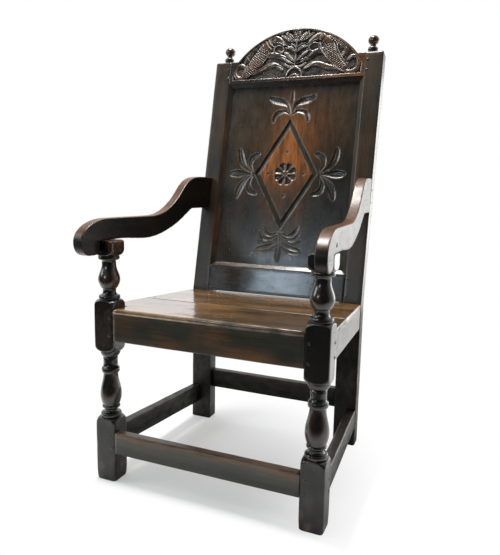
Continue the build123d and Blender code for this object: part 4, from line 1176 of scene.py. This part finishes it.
def plant(carving):
    """A stem on an arched root, with leaf pairs and a serrated flower."""
    mound, groove = carving.mound, carving.groove
    for carving.side in (-1, 1):
        mound((24, 662, 23, 676, 14, 689, 0, 698), 5.5, 4.9, 1.0, 0.9)
        mound((13, 662, 9, 670, 0, 674), 5.0, 4.0, 1.0, 0.9)
        for path, width in STEM_LEAVES:
            mound(path, width, 4.7, 0.35, 0.3, 0.65)
            groove(path, 1.8, 1.2)
        for path, width in PETALS:
            mound(path, width, 4.9, 0.45, 0.3, 0.55)
            line = bent(np.reshape(path, (-1, 2)))
            for i in range(5, len(line) - 2, 3):
                step = line[i + 1] - line[i]
                normal = np.array([-step[1], step[0]]) / np.linalg.norm(step)
                for hand in (-1, 1):
                    tip = line[i] + hand * normal * width * 0.5 - step * 1.2
                    groove((line[i], tip), 1.9, 2.2)
            groove(path, 1.9, 2.0)
    mound((0, 696, 0, 740, 0, 782), 5.6, 5.1, 1.0, 0.8)
    mound((0, 778, 0, 795, 0, 812), 8, 4.6, 0.4, 0.2)


def crest():
    """The crest rail: a round arch between square shoulders, with a notch at its top."""
    half, arch_half, low = 213.3, 188.0, 642.4
    radius, centre = 238.9, 577.6
    bevel_rise, mitre_half = 655.0, 213.5
    chamfer, relief = CHAMFER[1] / CHAMFER[0], 5.4
    u = np.linspace(-half, half, 420)
    arch = np.sqrt(radius**2 - np.minimum(np.abs(u), arch_half) ** 2)
    arched = np.abs(u) < arch_half
    notch = 3.6 * np.clip(1 - np.abs(u - 1) / 3.2, 0, 1)
    top = np.where(arched, centre + arch, POST_TOP) - notch - 0.3
    U, v = np.meshgrid(u, np.linspace(0, 1, 176))
    R = low + v * (top - low)
    at, wide = stack(U, R, 0.0), np.abs(U)
    edge = (top - R) * np.where(arched, arch / radius, 1.0)
    # the carving on its sunk ground
    carving = Carving(U, R)
    beast(carving, -1)
    beast(carving, 1)
    plant(carving)
    ground = smooth(1.0, 0.2, carving.field)
    H = np.clip(carving.field, 0, 5.2) + 0.55 * ground * noise(at, (4.2, 3.4, 1), 129, 1)
    H += 0.25 * noise(at, (7, 9, 1), 121) + 0.18 * noise(at, 30, 122)
    rim_width = 6.0 + 0.8 * noise(at, 40, 123)
    inside = smooth(rim_width - 0.4, rim_width + 1.0, radius - np.hypot(U, R - centre))
    inside *= smooth(202.0, 199.5, wide + 0.6 * noise(at, 20, 124))
    inside *= smooth(664.0, 665.6, R + 0.5 * noise(at, 30, 125))
    inside *= 1 - smooth(720.0, 721.5, R) * smooth(186, 190, wide)
    depth = inside * (relief - H) + 0.35 * (1 - inside) * half_noise(at, (40, 12, 1), 126)
    # the chamfer along the bottom, its mitres at the posts, and the rounded top
    above, within = R > bevel_rise, mitre_half - wide
    bevel = np.log1p(np.exp((bevel_rise - R) * 1.6)) / 1.6 * chamfer
    depth = np.maximum(depth * above, np.where(R < bevel_rise + 0.8, bevel, 0))
    mitre = np.maximum(depth, within * chamfer + 0.8)
    depth = np.where(bevel_rise - R > within, mitre, depth)
    round_top = 2.4 * (1 + 0.4 * noise(at, 40, 127))
    fall = np.minimum(np.clip(round_top - edge, 0, None), round_top)
    depth += round_top - np.sqrt(round_top**2 - fall**2)
    depth += np.clip(0.9 - (half - wide), 0, None)
    # wear, dirt and warmth, with painted shadows below the raised forms and painted highlights on
    # their tops and outlines
    base = inside * (relief - np.clip(H, 0, 6))
    cavity = base - blurred(base)
    # painted shadow: darker on the ground just below each raised form
    shadow_below = np.clip(base - np.vstack([base[4:], base[-4:]]), 0, 5) / 5
    # painted highlight: paler on the upper edge of each raised form
    lit_tops = np.clip(base - np.vstack([base[:2], base[:-2]]), 0, 5) / 5
    # painted highlights along the listed outline paths
    highlight_grid = Carving(U, R)
    for highlight_grid.side, reach in ((1, 4.2), (-1, 3.4)):
        for path in HIGHLIGHT_PATHS[highlight_grid.side]:
            near, d, _, _ = highlight_grid.along(path, reach)
            highlight_grid.raise_to(near, np.clip(1.35 - d / (reach / 2), 0, 1))
    painted_highlight = highlight_grid.field
    rubbed = 0.55 + 0.45 * noise(at, (16, 12, 1), 130)
    dirt = np.clip(0.4 * cavity + 0.55 * shadow_below, 0, 0.8) + 0.08 * inside * ground
    # painted shade on the downward-facing chamfer along the bottom; the plain border darker
    # towards the left
    dirt += 0.62 * smooth(655.5, 653.0, R) + 0.3 * (1 - inside) * (R > 664) * smooth(90, 20, U)
    warm = 0.40 * smooth(0.0, 0.7, noise(at, (50, 30, 1), 128)) * (1 - ground)
    warm += 0.45 * inside * smooth(2.5, 4.5, H) * smooth(60, 100, wide)
    warm += 0.55 * smooth(40, 110, U) * (1 - inside) * above
    warm += 0.45 * smooth(-80, 20, U) * smooth(666, 662, R) * above
    wear = (np.clip(-0.7 * cavity, 0, 0.7) + 0.65 * lit_tops * smooth(1.5, 3.5, H)) * rubbed
    wear += 0.5 * bell((R - 664.5) / 1.6) * (wide < 202)
    for highlight_grid.side, end in ((1, (150, 682)), (-1, (160, 681))):
        near, d, _, _ = highlight_grid.along((*BEASTS[highlight_grid.side][4][:6], *end), 40)
        wear[near] *= 1 - 0.6 * smooth(17, 13, d)
    # the painted highlights along the outlines go into the wear layer
    wear += 0.75 * painted_highlight * inside * (0.8 + 0.2 * rubbed)
    wear += 0.13 * inside * ground * (0.6 + 0.4 * noise(at, 7, 129))
    layers = {"dirt": dirt * (1 - 0.8 * painted_highlight), "warm": warm, "wear": wear}

    def skirt(x, rise, near):
        for deep, inset in ((4.0, 0.0), (11.0, 0.0), (22.6, 0.0), (24.0, 1.4)):
            side = np.minimum(np.abs(x), reach_at(deep) - 0.2 - inset) * np.sign(x)
            height = np.where(rise < low + 0.6, rise + inset, rise - inset)
            yield back(side, height, np.maximum(deep, near))

    def tenons(build):
        for side in (-1, 1):
            build.tenon((663.0, 711.5, 12.0, 22.0), back, (side * 196.0, side * 235.5))

    def fields(co):
        return {key: np.pad(grid.ravel(), (0, len(co) - U.size)) for key, grid in layers.items()}

    board("crest_rail", oak_crest, U, R, depth, skirt, fields, tenons)


crest()

# ---- pegs


def pegs(name):
    """Riven pegs, each a little uneven, in the places of the CAD node's pegs."""
    mesh = frame["nodes"][name].data
    points = np.round(read(mesh.vertices, "co") * 1000, 2)
    keys = {}
    weld = [keys.setdefault(tuple(p), len(keys)) for p in points]
    parent = list(range(len(keys)))

    def root(i):
        while parent[i] != i:
            parent[i] = parent[parent[i]]
            i = parent[i]
        return i

    for edge in mesh.edges:
        a, b = (root(weld[v]) for v in edge.vertices)
        parent[a] = b
    groups = {}
    for key, i in keys.items():
        groups.setdefault(root(i), []).append(key)
    theta = np.linspace(0, 2 * math.pi, 18, endpoint=False)
    cos, sin = np.cos(theta), np.sin(theta)
    chamfer = ((0.0, 0.45), (0.25, 0.78), (0.8, 0.96), (2.0, 1.0))
    build = Build()
    for number, points in enumerate(sorted(sorted(g) for g in groups.values())):
        points = np.array(points)
        centre = (points.min(0) + points.max(0)) / 2
        axis, first, second = np.linalg.svd(points - points.mean(0))[2]
        run = (points - centre) @ axis
        half = (run.max() - run.min()) / 2
        centre = centre + axis * (run.max() + run.min()) / 2
        radius = np.abs((points - centre) @ first).max()
        at = stack(2.0 * cos, 2.0 * sin, 7.0 * number)
        uneven = radius * (0.965 - 0.045 * (1 + noise(at, 1.3, 131)))
        spokes = (np.outer(cos, first) + np.outer(sin, second)) * uneven[:, None]
        ends = [(inset - half, share) for inset, share in chamfer]
        ends += [(half - inset, share) for inset, share in reversed(chamfer)]
        build.sweep([centre + axis * place + spokes * share for place, share in ends])
    build.make(name, oak_peg, None, 0.6)


for word in ("seat_rail", "stretcher", "back_frame", "arm", "seat_board"):
    pegs(word + "_pegs")

# ---- camera, light, stage


def show(name, data, matrix=None):
    holder = bpy.data.objects.new(name, data)
    bpy.context.scene.collection.objects.link(holder)
    if matrix:
        holder.matrix_world = matrix
    return holder


def world():
    """White to the camera, and brighter behind the chair than in front for the wood."""
    sky = bpy.data.worlds.new("studio")
    bpy.context.scene.world = sky
    graph = Graph(sky, "World")
    add = graph.add
    to_rear = add("SeparateXYZ", {"Vector": add("TexCoord")["Generated"]})["Y"]
    strength = graph.between(to_rear, -0.5, 0.5, 0.07, 0.95)
    fill = add("Background", {"Color": (0.96, 0.98, 1.0, 1), "Strength": strength})["Background"]
    white = add("Background", {"Color": (1, 1, 1, 1), "Strength": 1.0})["Background"]
    graph.blend(add("LightPath")["Is Camera Ray"], fill, white)


def lamp(name, place, aim_height, width, height, power, colour):
    light = bpy.data.lights.new(name, "AREA")
    light.shape, light.size, light.size_y = "RECTANGLE", width, height
    light.energy, light.color = power, colour
    aim = (Vector((0, 0, aim_height)) - Vector(place)).to_track_quat("-Z", "Y")
    show(name, light, Matrix.Translation(place) @ aim.to_matrix().to_4x4()).visible_camera = False


def pale_floor():
    """A pale floor that takes the chair's shadow and fades to white round it."""
    rings, spokes = 24, 96
    turns = [2 * math.pi * j / spokes for j in range(spokes)]
    points = [(0, 0, 0)]
    for radius in (6.0 * (i / rings) ** 1.6 for i in range(1, rings + 1)):
        points += [(radius * math.cos(a), radius * math.sin(a), 0) for a in turns]
    pairs = [(1 + j, 1 + (j + 1) % spokes) for j in range(spokes)]
    faces = [(0, a, b) for a, b in pairs]
    for n in range(0, (rings - 1) * spokes, spokes):
        faces += [(n + a, n + a + spokes, n + b + spokes, n + b) for a, b in pairs]
    mesh = bpy.data.meshes.new("floor")
    mesh.from_pydata(points, [], faces)
    material = bpy.data.materials.new("pale_floor")
    mesh.materials.append(material)
    graph = Graph(material, "Material")
    add, between, maths = graph.add, graph.between, graph.maths
    places, seen = add("TexCoord")["Object"], add("LightPath")["Is Camera Ray"]
    x, y, _ = add("SeparateXYZ", {"Vector": places})
    shifted = {"Vector": places, "Location": (0.27, 0.20, 0.0), "Scale": (1.0, 0.95, 1.0)}
    shifted = add("Mapping", shifted)["Vector"]
    away = add("VectorMath", {0: shifted}, operation="LENGTH")["Value"]
    beside = between(add("Math", {0: x}, operation="ABSOLUTE")[0], 0.29, 0.36)
    white = maths("MAXIMUM", between(y, -0.26, -0.33), beside)
    white = maths("MAXIMUM", between(away, 0.30, 0.74, 0.36), white)
    # painted shade: seen in the wood, the floor darkens towards the room in front
    shown = maths("MAXIMUM", between(y, -1.1, -0.35), seen)
    tone = graph.mixed(shown, (0.05, 0.05, 0.05), (0.88, 0.88, 0.87))
    paint = add("BsdfDiffuse", {"Color": tone})["BSDF"]
    glow = add("Emission", {"Color": (1, 1, 1, 1), "Strength": 1.0})["Emission"]
    graph.blend(maths("MULTIPLY", white, seen), paint, glow)
    floor = show("floor", mesh)


def camera():
    """The photo's camera, in pixels of its 500 by 555 frame."""
    focal, principal, frame_size = 562.66, (237.11, 273.52), (500.0, 555.0)
    yaw, pitch, roll = math.radians(23.23), math.radians(-8.48), math.radians(0.99)
    flat = math.cos(pitch)
    ahead = np.array([-math.sin(yaw) * flat, math.cos(yaw) * flat, math.sin(pitch)])
    right = np.cross(ahead, (0, 0, 1.0))
    right /= np.linalg.norm(right)
    up = np.cross(right, ahead)
    cos, sin = math.cos(roll), math.sin(roll)
    right, up = cos * right + sin * up, cos * up - sin * right
    lens = bpy.data.cameras.new("camera")
    lens.sensor_width = 36.0
    lens.lens = focal * 36.0 / frame_size[1]
    lens.shift_x = (frame_size[0] / 2 - principal[0]) / frame_size[1]
    lens.shift_y = (principal[1] - frame_size[1] / 2) / frame_size[1]
    turn = Matrix(np.array([right, up, -ahead]).T.tolist()).to_4x4()
    place = Matrix.Translation((0.5515, -1.3849, 0.7287))
    bpy.context.scene.camera = show("camera", lens, place @ turn)


bpy.context.scene.view_settings.view_transform = "Standard"
world()
lamp("overhead", (-0.3, 0.1, 2.9), 0.5, 0.9, 0.9, 92, (1.0, 0.99, 0.96))
lamp("left_window", (-2.4, -1.2, 1.9), 0.6, 0.9, 1.4, 30, (0.98, 0.99, 1.0))
lamp("front_window", (-0.90, -2.5, 1.17), 0.5, 0.42, 0.34, 9.5, (0.68, 0.85, 1.0))
lamp("right_back", (1.7, 2.7, 0.8), 0.6, 2.2, 1.6, 34, (1.0, 0.985, 0.96))
pale_floor()
camera()
